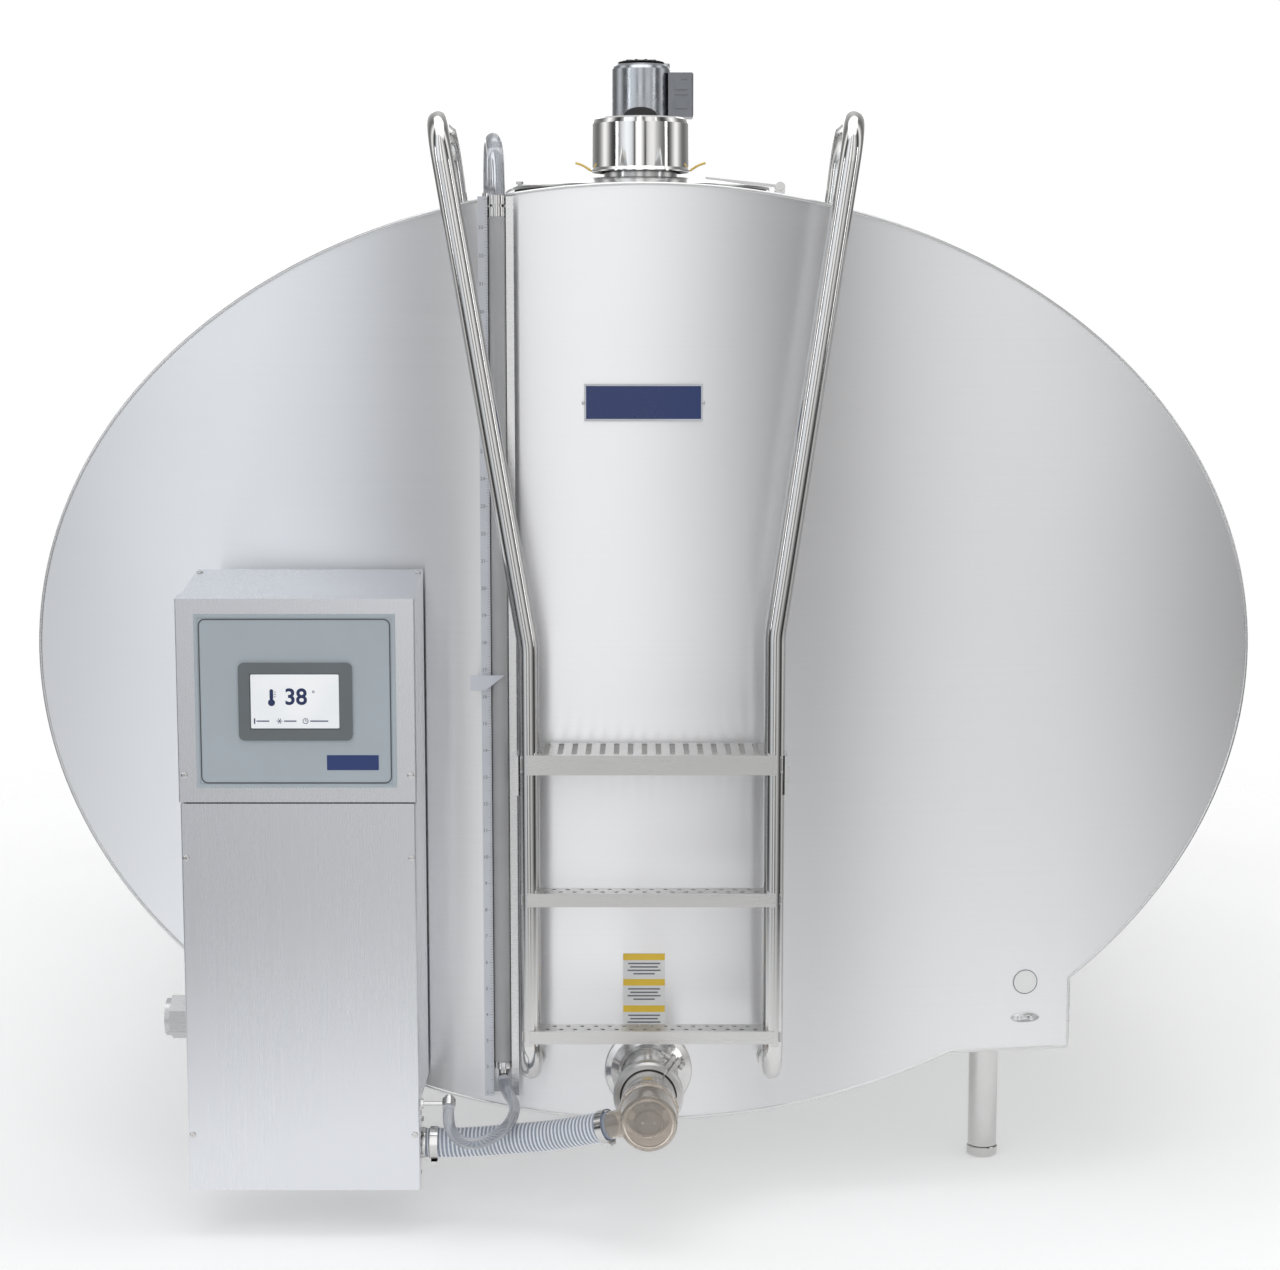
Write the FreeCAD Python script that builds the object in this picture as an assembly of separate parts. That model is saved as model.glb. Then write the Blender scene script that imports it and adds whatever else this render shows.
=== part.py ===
import FreeCAD, Part
import math
import os

# Bulk milk tank: a horizontal elliptical, insulated, self-standing cooling tank
# with a wash cabinet, access steps with handrails, a level gauge, a hinged
# manhole lid with vent cap, an agitator and an outlet valve.
# Millimetres. +X right, +Y to the rear, +Z up, floor at Z = 0.

# ---------------------------------------------------------------- dimensions
A_OUT, B_OUT = 1148.0, 873.0          # outer ellipse half width and half height
ZC = 1023.0                           # height of the ellipse centre
LENGTH = 3000.0                       # length between the two end outlines
BOW = 140.0                           # how far each end plate bows out
SKIN = 3.0                            # outer sheet
A_IN, B_IN = 1078.0, 803.0            # milk vessel, outside
VESSEL_T = 3.0
FOOT_X, FOOT_Z = 812.0, 270.0         # foot box: outer side and underside
LEG_X, LEG_R = 675.0, 28.6
LEG_Y = (100.0, 2900.0)
FOOT_R, FOOT_H, STEM_R = 30.0, 20.0, 15.0
MAN_X, MAN_Y = -6.0, 350.0            # manhole centre
MAN_R = 235.0                         # manhole neck, inside
LID_R = 256.0
INLET_R, INLET_T, INLET_TOP = 73.0, 2.4, 1992.0
CAP_R, CAP_BOT, CAP_TOP = 97.0, 1941.0, 2047.0
HINGE_X, HINGE_Z = 272.0, 1912.0
AG_X, AG_Y = -6.0, 1500.0             # agitator axis
SHAFT_R = 12.7
MOTOR_R, MOTOR_TOP = 71.0, 2267.0
RAIL_R = 19.05
RAIL_Y = -266.0
RAIL_XL, RAIL_XR = -207.0, 236.0
RAIL_TOP = 2001.0
STEP_FRONT = -287.4
STEP_Z = (874.8, 621.1, 364.3)
OUT_X, OUT_Z = 9.0, 246.0             # outlet axis
CAB_X0, CAB_X1 = -824.0, -402.0       # cabinet
CAB_Y0, CAB_Y1 = -354.0, -134.0
CAB_Z0, CAB_ZF, CAB_ZB = 238.0, 1166.0, 1197.0
COVER_Z0, COVER_SEAM = 88.6, 801.5
PUMP_Y, PUMP_Z = -288.0, 155.0
HOSE_R = 28.0                         # suction hose
DRAIN_HOSE_R = 10.5
VENT_HOSE_R = 15.0
Y_SHIFT = -1369.0                     # puts the origin midway along the length

R_BOW = ((A_OUT ** 2) + BOW ** 2) / (2 * BOW)
V = FreeCAD.Vector
OUT = {}


# ------------------------------------------------------------------- helpers
def box(x0, x1, y0, y1, z0, z1):
    return Part.makeBox(x1 - x0, y1 - y0, z1 - z0, V(x0, y0, z0))


def cyl(p, d, r, h):
    return Part.makeCylinder(r, h, V(*p), V(*d))


def tube(p, d, r, ri, h):
    return cyl(p, d, r, h).cut(cyl(p, d, ri, h))


def ellipse_block(a, b, y0, y1):
    e = Part.Ellipse(V(0, 0, 0), a, b).toShape()
    e.rotate(V(0, 0, 0), V(1, 0, 0), 90)
    e.translate(V(0, y0, ZC))
    return Part.Face(Part.Wire([e])).extrude(V(0, y1 - y0, 0))


def ellipse_block4(a, b, y0, y1):
    """the same block with its wall in four faces, for the vessel with its ports"""
    el = Part.Ellipse(V(0, 0, 0), a, b)
    w = Part.Wire([Part.ArcOfEllipse(el, math.radians(p), math.radians(q)).toShape()
                   for p, q in ((35, 145), (145, 215), (215, 325), (325, 395))])
    f = Part.Face(w)
    f.rotate(V(0, 0, 0), V(1, 0, 0), 90)
    f.translate(V(0, y0, ZC))
    return f.extrude(V(0, y1 - y0, 0))


def profile_block(t, y0=-200.0, y1=3200.0):
    """outer body section, moved in by t, as a long block along Y"""
    e = ellipse_block(A_OUT - t, B_OUT - t, y0, y1)
    b = box(-(FOOT_X - t), FOOT_X - t, y0, y1, FOOT_Z + t, 600.0)
    return e.fuse(b).removeSplitter()


def lens(t, w=1300.0, z0=-20.0, z1=2400.0):
    """plan shape between the two bowed ends, moved in by t"""
    r = R_BOW - t
    cf = -BOW + R_BOW
    cr = LENGTH + BOW - R_BOW

    def yf(x):
        return cf - math.sqrt(r * r - x * x)

    def yr(x):
        return cr + math.sqrt(r * r - x * x)
    front = Part.Arc(V(-w, yf(w), z0), V(0, yf(0), z0), V(w, yf(w), z0)).toShape()
    rear = Part.Arc(V(w, yr(w), z0), V(0, yr(0), z0), V(-w, yr(w), z0)).toShape()
    s1 = Part.LineSegment(V(w, yf(w), z0), V(w, yr(w), z0)).toShape()
    s2 = Part.LineSegment(V(-w, yr(w), z0), V(-w, yf(w), z0)).toShape()
    return Part.Face(Part.Wire([front, s1, rear, s2])).extrude(V(0, 0, z1 - z0))


def fuse(*s):
    r = s[0]
    for k in s[1:]:
        r = r.fuse(k)
    return r


def cut(s, *t):
    for k in t:
        s = s.cut(k)
    return s


def group(*s):
    out = []
    for k in s:
        out += k.Solids
    return Part.makeCompound(out)


def prism(pts, vec):
    e = [Part.LineSegment(V(*pts[i]), V(*pts[(i + 1) % len(pts)])).toShape()
         for i in range(len(pts))]
    return Part.Face(Part.Wire(e)).extrude(V(*vec))


def revolve(pts, p, axis):
    """closed outline of (r, h) pairs turned about an axis through p"""
    w = Part.Wire([Part.LineSegment(V(pts[i][0], 0, pts[i][1]),
                                    V(pts[(i + 1) % len(pts)][0], 0, pts[(i + 1) % len(pts)][1])).toShape()
                   for i in range(len(pts))])
    s = Part.Face(w).revolve(V(0, 0, 0), V(0, 0, 1), 360)
    if axis == (0, -1, 0):
        s.rotate(V(0, 0, 0), V(1, 0, 0), 90)
    elif axis == (0, 1, 0):
        s.rotate(V(0, 0, 0), V(1, 0, 0), -90)
    elif axis == (1, 0, 0):
        s.rotate(V(0, 0, 0), V(0, 1, 0), 90)
    elif axis == (-1, 0, 0):
        s.rotate(V(0, 0, 0), V(0, 1, 0), -90)
    s.translate(V(*p))
    return s


def route(pts, radii=None, name=None):
    """straight runs joined by tangent arcs through the corner points"""
    P = [V(*p) for p in pts]
    edges, start, out = [], P[0], []
    for i in range(1, len(P) - 1):
        a, b, c = P[i - 1], P[i], P[i + 1]
        u, w = (a - b), (c - b)
        la, lc = u.Length, w.Length
        u.normalize()
        w.normalize()
        turn = math.pi - u.getAngle(w)
        if radii and radii[i - 1]:
            r = radii[i - 1]
        else:
            r = 0.45 * min(la, lc) / math.tan(turn / 2)
        d = r * math.tan(turn / 2)
        t1, t2 = b + u * d, b + w * d
        m = (u + w)
        m.normalize()
        mid = b + m * (r / math.cos(turn / 2) - r)
        if (t1 - start).Length > 1e-3:
            edges.append(Part.LineSegment(start, t1).toShape())
        edges.append(Part.Arc(t1, mid, t2).toShape())
        start = t2
        out.append(round(r, 1))
    edges.append(Part.LineSegment(start, P[-1]).toShape())
    wire = Part.Wire(edges)
    if name:
        print(name, "arc radii", out, "length", round(wire.Length, 1))
    return wire


def sweep(wire, r, name=None):
    e = wire.Edges[0]
    p = e.valueAt(e.FirstParameter)
    d = e.tangentAt(e.FirstParameter)
    c = Part.Wire([Part.makeCircle(r, p, d)])
    s = wire.makePipeShell([c], True, True)
    if not isinstance(s, Part.Solid) and s.ShapeType != "Solid":
        s = Part.Solid(s)
    if s.Volume < 0:
        s.reverse()
    if name:
        want = math.pi * r * r * wire.Length
        print(name, "volume", round(s.Volume), "section x length", round(want))
    return s


def shell_z(x, t=0.0):
    return ZC + (B_OUT - t) * math.sqrt(1 - (x / (A_OUT - t)) ** 2)


def head_y(x, t=0.0):
    return -BOW + R_BOW - math.sqrt((R_BOW - t) ** 2 - x * x)


def on_head(x0, x1, z0, z1, t, gap=0.15):
    """thin plate lying on the front end plate"""
    b = box(x0, x1, -300, 100, z0, z1)
    return b.common(cut(lens(-gap - t), lens(-gap)))


# ---------------------------------------------------- ports through the walls
def port_cuts(extra=0.0):
    """every round passage through the top and the ends, grown by extra"""
    e = extra
    return [
        cyl((MAN_X, MAN_Y, 1500), (0, 0, 1), MAN_R + 3.0 + e, 500),
        cyl((AG_X, AG_Y, 1500), (0, 0, 1), 50.0 + e, 500),
        cyl((MAN_X, 900, 1500), (0, 0, 1), 19.05 + e, 500),
        cyl((OUT_X, -400, OUT_Z), (0, 1, 0), 50.8 + e, 600),
    ]


# ------------------------------------------------------------ tank structure
P0, P3 = profile_block(0), profile_block(SKIN)
L0, L3 = lens(0), lens(SKIN)
plates = P0.common(L0).cut(L3)
front, rear = [s for s in plates.Solids], None
front = sorted(plates.Solids, key=lambda s: s.BoundBox.YMin)
ports = port_cuts(0.3)
OUT["front_head"] = cut(front[0], ports[3])
stub_pos = ((300.0, 14.3), (380.0, 7.94))


def stub_z(x, r):
    """pipe centre, just under the evaporator plate"""
    return ZC - 809.5 * math.sqrt(1 - (x / 1084.5) ** 2) - (r + 5.0) / math.cos(0.25)


stubs, stub_cuts = [], []
under = ellipse_block(1084.7, 809.7, 2700, 3000)
for x, r in stub_pos:
    z = stub_z(x, r)
    riser = cyl((x, 2860.0, z), (0, 0, 1), 0.8 * r, 40).cut(under)
    riser = max(riser.Solids, key=lambda k: -k.BoundBox.ZMin)
    stubs.append(fuse(fuse(cyl((x, 2840.0, z), (0, 1, 0), r - 1.0, 310.0), cyl((x, 3145.0, z), (0, 1, 0), r, 55.0)),
                      riser))
    stub_cuts.append(cyl((x, 2830.0, z), (0, 1, 0), r + 0.4, 400.0))
    stub_cuts.append(cyl((x, 2860.0, z), (0, 0, 1), 0.8 * r + 0.4, 40.0))
OUT["rear_head"] = cut(front[-1], *stub_cuts)
ring = cut(P0, P3).common(lens(SKIN + 0.2))
LEG_HOLES = [cyl((sx * LEG_X, y, 200), (0, 0, 1), LEG_R + 0.3, 200) for sx in (-1, 1) for y in LEG_Y]
OUT["outer_shell"] = cut(ring, ports[0], ports[1], ports[2], *LEG_HOLES)

E0 = ellipse_block4(A_IN, B_IN, -300, 3300)
E1 = ellipse_block4(A_IN - VESSEL_T, B_IN - VESSEL_T, -300, 3300)
vessel = E0.common(lens(70.0)).cut(E1.common(lens(70.0 + VESSEL_T)))
vessel = vessel.cut([cyl((MAN_X, 900, 1500), (0, 0, 1), 30.0, 500),
                     cyl((AG_X, AG_Y, 1500), (0, 0, 1), 47.0, 500),
                     cyl((MAN_X, MAN_Y, 1500), (0, 0, 1), MAN_R, 500),
                     cyl((OUT_X, -400, OUT_Z), (0, 1, 0), 48.6, 465)])
OUT["inner_vessel"] = vessel

# evaporator plate wrapped round the underside of the milk vessel
wedge_low = prism([(0, 60, ZC), (1600, 60, ZC - 1600 * math.tan(math.radians(37.4))),
                   (1600, 60, -900), (-1600, 60, -900),
                   (-1600, 60, ZC - 1600 * math.tan(math.radians(37.4)))], (0, 2840, 0))
evap = cut(ellipse_block(1084.5, 809.5, 100, 2900), ellipse_block(1078.4, 803.4, 0, 3000)).common(wedge_low)
OUT["evaporator_plate"] = evap
OUT["refrigerant_stubs"] = group(*stubs)

# steel channels in the foot boxes that carry the legs
rails = [cut(box(sx * LEG_X - 45, sx * LEG_X + 45, 40, 2960, 285, 345),
             box(sx * LEG_X - 40, sx * LEG_X + 40, 45, 2955, 290, 340)) for sx in (-1, 1)]
OUT["support_rails"] = group(*rails)
rail_cuts = [box(sx * LEG_X - 45.5, sx * LEG_X + 45.5, 39, 2961, 272, 345.5) for sx in (-1, 1)]

# rigid foam: wall panels round the vessel and a pad at each end
G = 0.4
PF = profile_block(SKIN + G)
LF = lens(SKIN + G + 0.2)
LI = lens(70.0 - G)
foam_out = PF.common(LF)
wall = cut(foam_out.common(lens(70.0 - G)),
           ellipse_block(A_IN + G, B_IN + G, -300, 3300))
wall_low = cut(wall, ellipse_block(1085.0, 810.0, 59, 2901))
fcuts = port_cuts(0.7) + rail_cuts + stub_cuts + LEG_HOLES
bounds = [90, 72, 57, 42, 26, 10, -8, -24, -37.4, -52.4, -65, -77.5, -90]
panels = []
for s in (1, -1):
    for a0, a1 in zip(bounds[:-1], bounds[1:]):
        if a0 == 90:
            a0 = 90 + s * 0.395      # the top seam runs through the port centres
        w = prism([(0, -300, ZC)] +
                  [(s * 3000 * math.cos(math.radians(a)), -300, ZC + 3000 * math.sin(math.radians(a)))
                   for a in (a0, a1)], (0, 3600, 0))
        src = wall_low if a0 <= -37 else wall
        p = src.common(w)
        if a0 > 89:
            segs = [(-300, 90), (90, 610), (610, 1430), (1430, 1570), (1570, 3400)]
            got = []
            for y0, y1 in segs:
                got += p.common(box(-1400, 1400, y0, y1, 0, 2400)).Solids
        else:
            got = p.Solids
        for q in got:
            for c in fcuts:
                if q.BoundBox.intersect(c.BoundBox):
                    q = q.cut(c)
            panels += [k for k in q.Solids if k.Volume > 2000]
pads = cut(foam_out, lens(70.0 - G)).Solids
pads = sorted(pads, key=lambda p: p.BoundBox.YMin)
sectors = []
for k in range(8):
    a0, a1 = math.radians(45 * k), math.radians(45 * (k + 1))
    w = prism([(OUT_X, -300, OUT_Z), (OUT_X + 4000 * math.cos(a0), -300, OUT_Z + 4000 * math.sin(a0)),
               (OUT_X + 4000 * math.cos(a1), -300, OUT_Z + 4000 * math.sin(a1))], (0, 3600, 0))
    sectors += [q for q in cut(pads[0].common(w), *fcuts).Solids if q.Volume > 500]
pads = sectors + [cut(pads[-1], *fcuts)]
OUT["insulation_foam"] = group(*(panels + pads))
print("foam solids", len(OUT["insulation_foam"].Solids))

# legs: tube with a welded collar and a threaded end plug
legs = []
for sx in (-1, 1):
    for y in LEG_Y:
        x = sx * LEG_X
        leg = tube((x, y, 22), (0, 0, 1), LEG_R, LEG_R - 3, 262.8)
        leg = fuse(leg, cyl((x, y, 22), (0, 0, 1), LEG_R - 2, 40),
                   revolve([(LEG_R - 1, 256), (34, 262), (37, 269.6), (LEG_R - 1, 269.6)], (x, y, 0), (0, 0, 1)))
        leg = cut(leg, cyl((x, y, 20), (0, 0, 1), STEM_R + 0.06, 44))
        legs.append(leg)
OUT["legs"] = group(*legs)
for n, (x, y) in {"foot_front_left": (-LEG_X, LEG_Y[0]), "foot_front_right": (LEG_X, LEG_Y[0]),
                  "foot_rear_left": (-LEG_X, LEG_Y[1]), "foot_rear_right": (LEG_X, LEG_Y[1])}.items():
    f = revolve([(0, 0), (FOOT_R - 3, 0), (FOOT_R, 3), (FOOT_R, FOOT_H - 2), (FOOT_R - 2, FOOT_H),
                 (0, FOOT_H)], (x, y, 0), (0, 0, 1))
    f = fuse(f, cyl((x, y, FOOT_H - 1), (0, 0, 1), STEM_R, 121))
    OUT[n] = f

# ------------------------------------------------------------------- manhole
neck = tube((MAN_X, MAN_Y, 1780), (0, 0, 1), MAN_R + 3, MAN_R, 119.5)
neck = fuse(neck, tube((MAN_X, MAN_Y, 1896.6), (0, 0, 1), MAN_R + 15, MAN_R, 3.0))
neck = cut(neck, ellipse_block(A_IN + 0.2, B_IN + 0.2, -300, 1500))
OUT["manhole_neck"] = max(neck.Solids, key=lambda s: s.Volume)
OUT["lid_gasket"] = tube((MAN_X, MAN_Y, 1899.8), (0, 0, 1), MAN_R + 16, MAN_R + 1, 4.0)

LZ = 1904.0                      # underside of the lid rim
SAG = 26.0
RD = (LID_R ** 2 + SAG ** 2) / (2 * SAG)
dome_c = V(MAN_X, MAN_Y, LZ + SAG - RD)
dome = Part.makeSphere(RD + 2.5, dome_c).cut(Part.makeSphere(RD, dome_c))
dome = dome.common(cyl((MAN_X, MAN_Y, LZ), (0, 0, 1), LID_R - 4, 60))
rim = revolve([(MAN_R - 2, LZ), (LID_R, LZ), (LID_R + 2, LZ + 2), (LID_R + 1, LZ + 5),
               (LID_R - 3, LZ + 5.5), (MAN_R - 2, LZ + 4.2)], (MAN_X, MAN_Y, 0), (0, 0, 1))
inlet = cyl((MAN_X, MAN_Y, 1915), (0, 0, 1), INLET_R, INLET_TOP - 1915)
inlet = fuse(inlet, revolve([(INLET_R - 1, INLET_TOP - 3), (INLET_R + 2, INLET_TOP - 2),
                             (INLET_R + 2, INLET_TOP), (INLET_R - 1, INLET_TOP)], (MAN_X, MAN_Y, 0), (0, 0, 1)))
inner_ball = Part.makeSphere(RD, dome_c)
inlet = inlet.cut(inner_ball)
lid = fuse(dome, rim, inlet)
lid = cut(lid, cyl((MAN_X, MAN_Y, 1850), (0, 0, 1), INLET_R - INLET_T, 200))
# hinge strap over the rim, with its knuckle
strap = prism([(128, MAN_Y - 20, 1926), (256, MAN_Y - 20, 1911.5), (264, MAN_Y - 20, 1910),
               (264, MAN_Y - 20, 1916.5), (124, MAN_Y - 20, 1931.5)], (0, 40, 0))
knuckle = cyl((HINGE_X, MAN_Y - 20, HINGE_Z), (0, 1, 0), 10, 40)
strap = fuse(strap, knuckle)
lid = fuse(lid, strap, box(160, 176, MAN_Y - 12, MAN_Y + 12, 1915, 1922))
lid = cut(lid, cyl((HINGE_X, MAN_Y - 60, HINGE_Z), (0, 1, 0), 5.06, 120))
# lift handle on the side away from the hinge, with a knob
hand = prism([(-222, MAN_Y - 14, 1916), (-246, MAN_Y - 14, 1916.5), (-270, MAN_Y - 14, 1906),
              (-286, MAN_Y - 14, 1892), (-283, MAN_Y - 14, 1890), (-267, MAN_Y - 14, 1902.5),
              (-256, MAN_Y - 14, 1907.5), (-222, MAN_Y - 14, 1907)], (0, 28, 0))
knob = fuse(cyl((-247, MAN_Y, 1912), (0, 0, 1), 4, 8), cyl((-247, MAN_Y, 1918), (0, 0, 1), 7, 5))
lid = fuse(lid, hand, knob)
lid = max(lid.Solids, key=lambda s: s.Volume)
OUT["manhole_lid"] = lid

base_top = 1880.0
brk = box(HINGE_X - 14, HINGE_X + 20, MAN_Y - 44, MAN_Y + 44, 1860, base_top)
ear = [box(HINGE_X - 9, HINGE_X + 9, y, y + 6, base_top - 1, HINGE_Z) for y in (MAN_Y - 27, MAN_Y + 21)]
ear += [cyl((HINGE_X, y, HINGE_Z), (0, 1, 0), 9, 6) for y in (MAN_Y - 27, MAN_Y + 21)]
brk = fuse(brk, *ear)
brk = cut(brk, ellipse_block(A_OUT + 0.2, B_OUT + 0.2, -100, 1000),
          cyl((HINGE_X, MAN_Y - 60, HINGE_Z), (0, 1, 0), 5.05, 120),
          cyl((MAN_X, MAN_Y, 1850), (0, 0, 1), LID_R + 4, 100))
OUT["lid_hinge_bracket"] = max(brk.Solids, key=lambda s: s.Volume)
pin = fuse(cyl((HINGE_X, MAN_Y - 31, HINGE_Z), (0, 1, 0), 5, 62),
           cyl((HINGE_X, MAN_Y - 34, HINGE_Z), (0, 1, 0), 7.5, 6.6),
           cyl((HINGE_X, MAN_Y + 27.4, HINGE_Z), (0, 1, 0), 7.5, 6.6))
OUT["lid_hinge_pin"] = pin

# vent cap: inverted cup with three inner ribs that rest on the inlet neck
cap = revolve([(0, CAP_TOP), (CAP_R - 12, CAP_TOP), (CAP_R - 4, CAP_TOP - 3.5), (CAP_R - 0.5, CAP_TOP - 12),
               (CAP_R, CAP_BOT + 8), (CAP_R + 4, CAP_BOT + 2), (CAP_R + 4, CAP_BOT), (CAP_R + 1, CAP_BOT),
               (CAP_R - 2.5, CAP_BOT + 6), (CAP_R - 2.5, CAP_TOP - 12), (CAP_R - 6, CAP_TOP - 5),
               (CAP_R - 12, CAP_TOP - 2.5), (0, CAP_TOP - 2.5)], (MAN_X, MAN_Y, 0), (0, 0, 1))
for k in range(3):
    rib = box(52, CAP_R - 1.5, -2, 2, INLET_TOP + 0.3, CAP_TOP - 1.5)
    rib = fuse(rib, box(INLET_R + 4, CAP_R - 1.5, -2, 2, CAP_BOT + 14, CAP_TOP - 1.5))
    rib.rotate(V(0, 0, 0), V(0, 0, 1), 30 + 120 * k)
    rib.translate(V(MAN_X, MAN_Y, 0))
    cap = fuse(cap, rib)
arch = [(-32, 2046), (-32, 2053), (-24, 2062), (-10, 2067), (10, 2067), (24, 2062), (32, 2053), (32, 2046),
        (28, 2046), (28, 2052), (21, 2058.5), (9, 2063), (-9, 2063), (-21, 2058.5), (-28, 2052), (-28, 2046)]
cap = fuse(cap, prism([(MAN_X + x, MAN_Y - 12, z) for x, z in arch], (0, 24, 0)))
OUT["vent_cap"] = cap

# ------------------------------------------------------------------ agitator
port = tube((AG_X, AG_Y, 1780), (0, 0, 1), 50, 47, 150)
port = fuse(port, tube((AG_X, AG_Y, 1930), (0, 0, 1), 82, 30.05, 10))
port = cut(port, ellipse_block(A_IN + 0.2, B_IN + 0.2, 1300, 1700))
OUT["agitator_port"] = max(port.Solids, key=lambda s: s.Volume)
OUT["shaft_seal"] = tube((AG_X, AG_Y, 1922), (0, 0, 1), 30, SHAFT_R + 0.06, 18)
gb = revolve([(0, 1940.2), (80, 1940.2), (82, 1943), (82, 1950), (62, 1953), (58, 1960), (58, 2040), (66, 2056),
              (69, 2062), (69, 2072), (0, 2072)], (AG_X, AG_Y, 0), (0, 0, 1))
for k in range(4):
    a = math.radians(45 + 90 * k)
    gb = fuse(gb, cyl((AG_X + 70 * math.cos(a), AG_Y + 70 * math.sin(a), 1949), (0, 0, 1), 7, 7))
gb = cut(gb, cyl((AG_X, AG_Y, 1939), (0, 0, 1), 20, 65))
OUT["gearbox_housing"] = gb
mt = revolve([(0, 2072.2), (MOTOR_R - 2, 2072.2), (MOTOR_R, 2074), (MOTOR_R, 2250), (MOTOR_R - 3, 2257),
              (MOTOR_R - 9, 2262), (40, MOTOR_TOP - 1), (0, MOTOR_TOP)], (AG_X, AG_Y, 0), (0, 0, 1))
lug = cyl((AG_X + 62, AG_Y + 8, 2250), (0, 0, 1), 8, 16)
mt = fuse(mt, lug)
OUT["motor_housing"] = mt
tx0 = AG_X + 66
tb = box(tx0, AG_X + 127, AG_Y - 40, AG_Y + 40, 2135, 2241)
tb = tb.makeFillet(5, [e for e in tb.Edges if abs(e.BoundBox.XMin - (AG_X + 127)) < 0.1])
for z0, z1 in ((2155, 2176), (2188, 2194), (2200, 2214)):
    tb = fuse(tb, box(AG_X + 82, AG_X + 113, AG_Y - 44, AG_Y - 39, z0, z1))
tb = fuse(tb, box(AG_X + 98, AG_X + 112, AG_Y - 43, AG_Y - 39, 2225, 2236))
tb = cut(tb, cyl((AG_X, AG_Y, 2100), (0, 0, 1), MOTOR_R + 0.25, 200))
OUT["terminal_box"] = tb
OUT["agitator_shaft"] = fuse(cyl((AG_X, AG_Y, 440), (0, 0, 1), SHAFT_R, 1550),
                             cyl((AG_X, AG_Y, 1985), (0, 0, 1), 17, 12))
hub = tube((AG_X, AG_Y, 450), (0, 0, 1), 26, SHAFT_R + 0.05, 80)
for k in (0, 180):
    bl = box(20, 320, -3, 3, -45, 45)
    bl.rotate(V(0, 0, 0), V(1, 0, 0), 32)
    bl = bl.common(box(20, 320, -60, 60, -38, 38))
    bl.rotate(V(0, 0, 0), V(0, 0, 1), k)
    bl.translate(V(AG_X, AG_Y, 490))
    hub = fuse(hub, bl)
hub = cut(hub, cyl((AG_X, AG_Y, 400), (0, 0, 1), SHAFT_R + 0.05, 200))
OUT["agitator_paddle"] = hub

sb = fuse(tube((MAN_X, 900, 1640), (0, 0, 1), 18.0, 16.6, 262), tube((MAN_X, 900, 1900), (0, 0, 1), 19.05, 16.6, 36))
sb = fuse(sb,
          Part.makeSphere(45, V(MAN_X, 900, 1620)).cut(Part.makeSphere(42.5, V(MAN_X, 900, 1620))))
sb = fuse(sb, tube((MAN_X, 900, 1822.8), (0, 0, 1), 29.6, 17.0, 3.0))
sb = cut(sb, cyl((MAN_X, 900, 1630), (0, 0, 1), 16.6, 60))
for k in range(8):
    for el in (-35, 0, 35):
        a, b = math.radians(45 * k), math.radians(el)
        d = (math.cos(a) * math.cos(b), math.sin(a) * math.cos(b), math.sin(b))
        sb = cut(sb, cyl((MAN_X, 900, 1620), d, 2.2, 60))
OUT["spray_ball"] = max(sb.Solids, key=lambda s: s.Volume)


# ----------------------------------------------------------- steps and rails
def handrail(x, zb, x_top, x_back):
    """foot bend into the end plate, upright, splay, loop, back leg on the shell"""
    s = (x_top - x) / (1960.0 - zb)
    y_end = head_y(x) - 0.4
    xt = x + s * (RAIL_TOP - zb)
    xb = x + s * (shell_z(x_back) - zb)
    pts = [(x, y_end, 272.0), (x, RAIL_Y, 272.0), (x, RAIL_Y, zb), (xt, RAIL_Y, RAIL_TOP),
           (xt, 8.0, RAIL_TOP), (xb, 8.0, shell_z(xb) - 40)]
    w = route(pts, [62, 150, 75, 75])
    t = sweep(w, RAIL_R)
    t = cut(t, ellipse_block(A_OUT + 0.3, B_OUT + 0.3, -60, 400), lens(-0.3, z1=400.0))
    return max(t.Solids, key=lambda k: k.Volume)


OUT["handrail_left"] = handrail(RAIL_XL, 1070.0, -357.0, -338.0)
OUT["handrail_right"] = handrail(RAIL_XR, 1090.0, 366.0, 341.0)


def step(z, back, lip, y_holes, slots):
    x0, x1 = RAIL_XL - 3.0, RAIL_XR + 3.0
    s = box(x0, x1, STEP_FRONT, back, z - 2.5, z)
    s = fuse(s, box(x0, x1, STEP_FRONT, STEP_FRONT + 2.0, z - lip, z),
             box(x0 + 22, x1 - 22, back - 2.0, back, z - lip, z))
    s = fuse(s, box(x0 + 22, x0 + 24, STEP_FRONT + 1, back - 1, z - lip, z),
             box(x1 - 24, x1 - 22, STEP_FRONT + 1, back - 1, z - lip, z))
    for x in (RAIL_XL, RAIL_XR):
        s = cut(s, cyl((x, RAIL_Y, z - 60), (0, 0, 1), RAIL_R + 0.15, 80))
    cuts = []
    n = 16
    pitch = 25.4
    xs = (x0 + x1) / 2 - pitch * (n - 1) / 2
    for i in range(n):
        x = xs + i * pitch
        if slots:
            y0, y1 = STEP_FRONT + 16, back - 16
            cuts.append(fuse(box(x - 5, x + 5, y0, y1, z - 5, z + 5),
                             cyl((x, y0, z - 5), (0, 0, 1), 5, 10), cyl((x, y1, z - 5), (0, 0, 1), 5, 10)))
        else:
            cuts.append(cyl((x, y_holes[0], z - 5), (0, 0, 1), 4.5, 10))
            if i < n - 1:
                cuts.append(cyl((x + pitch / 2, y_holes[1], z - 5), (0, 0, 1), 4.5, 10))
    s = cut(s, Part.makeCompound(cuts))
    return s


OUT["top_step"] = step(STEP_Z[0], -150.0, 36.0, None, True)
OUT["lower_steps"] = group(step(STEP_Z[1], -240.0, 25.0, (-274.0, -253.0), False),
                           step(STEP_Z[2], -240.0, 24.0, (-274.0, -253.0), False))

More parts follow.
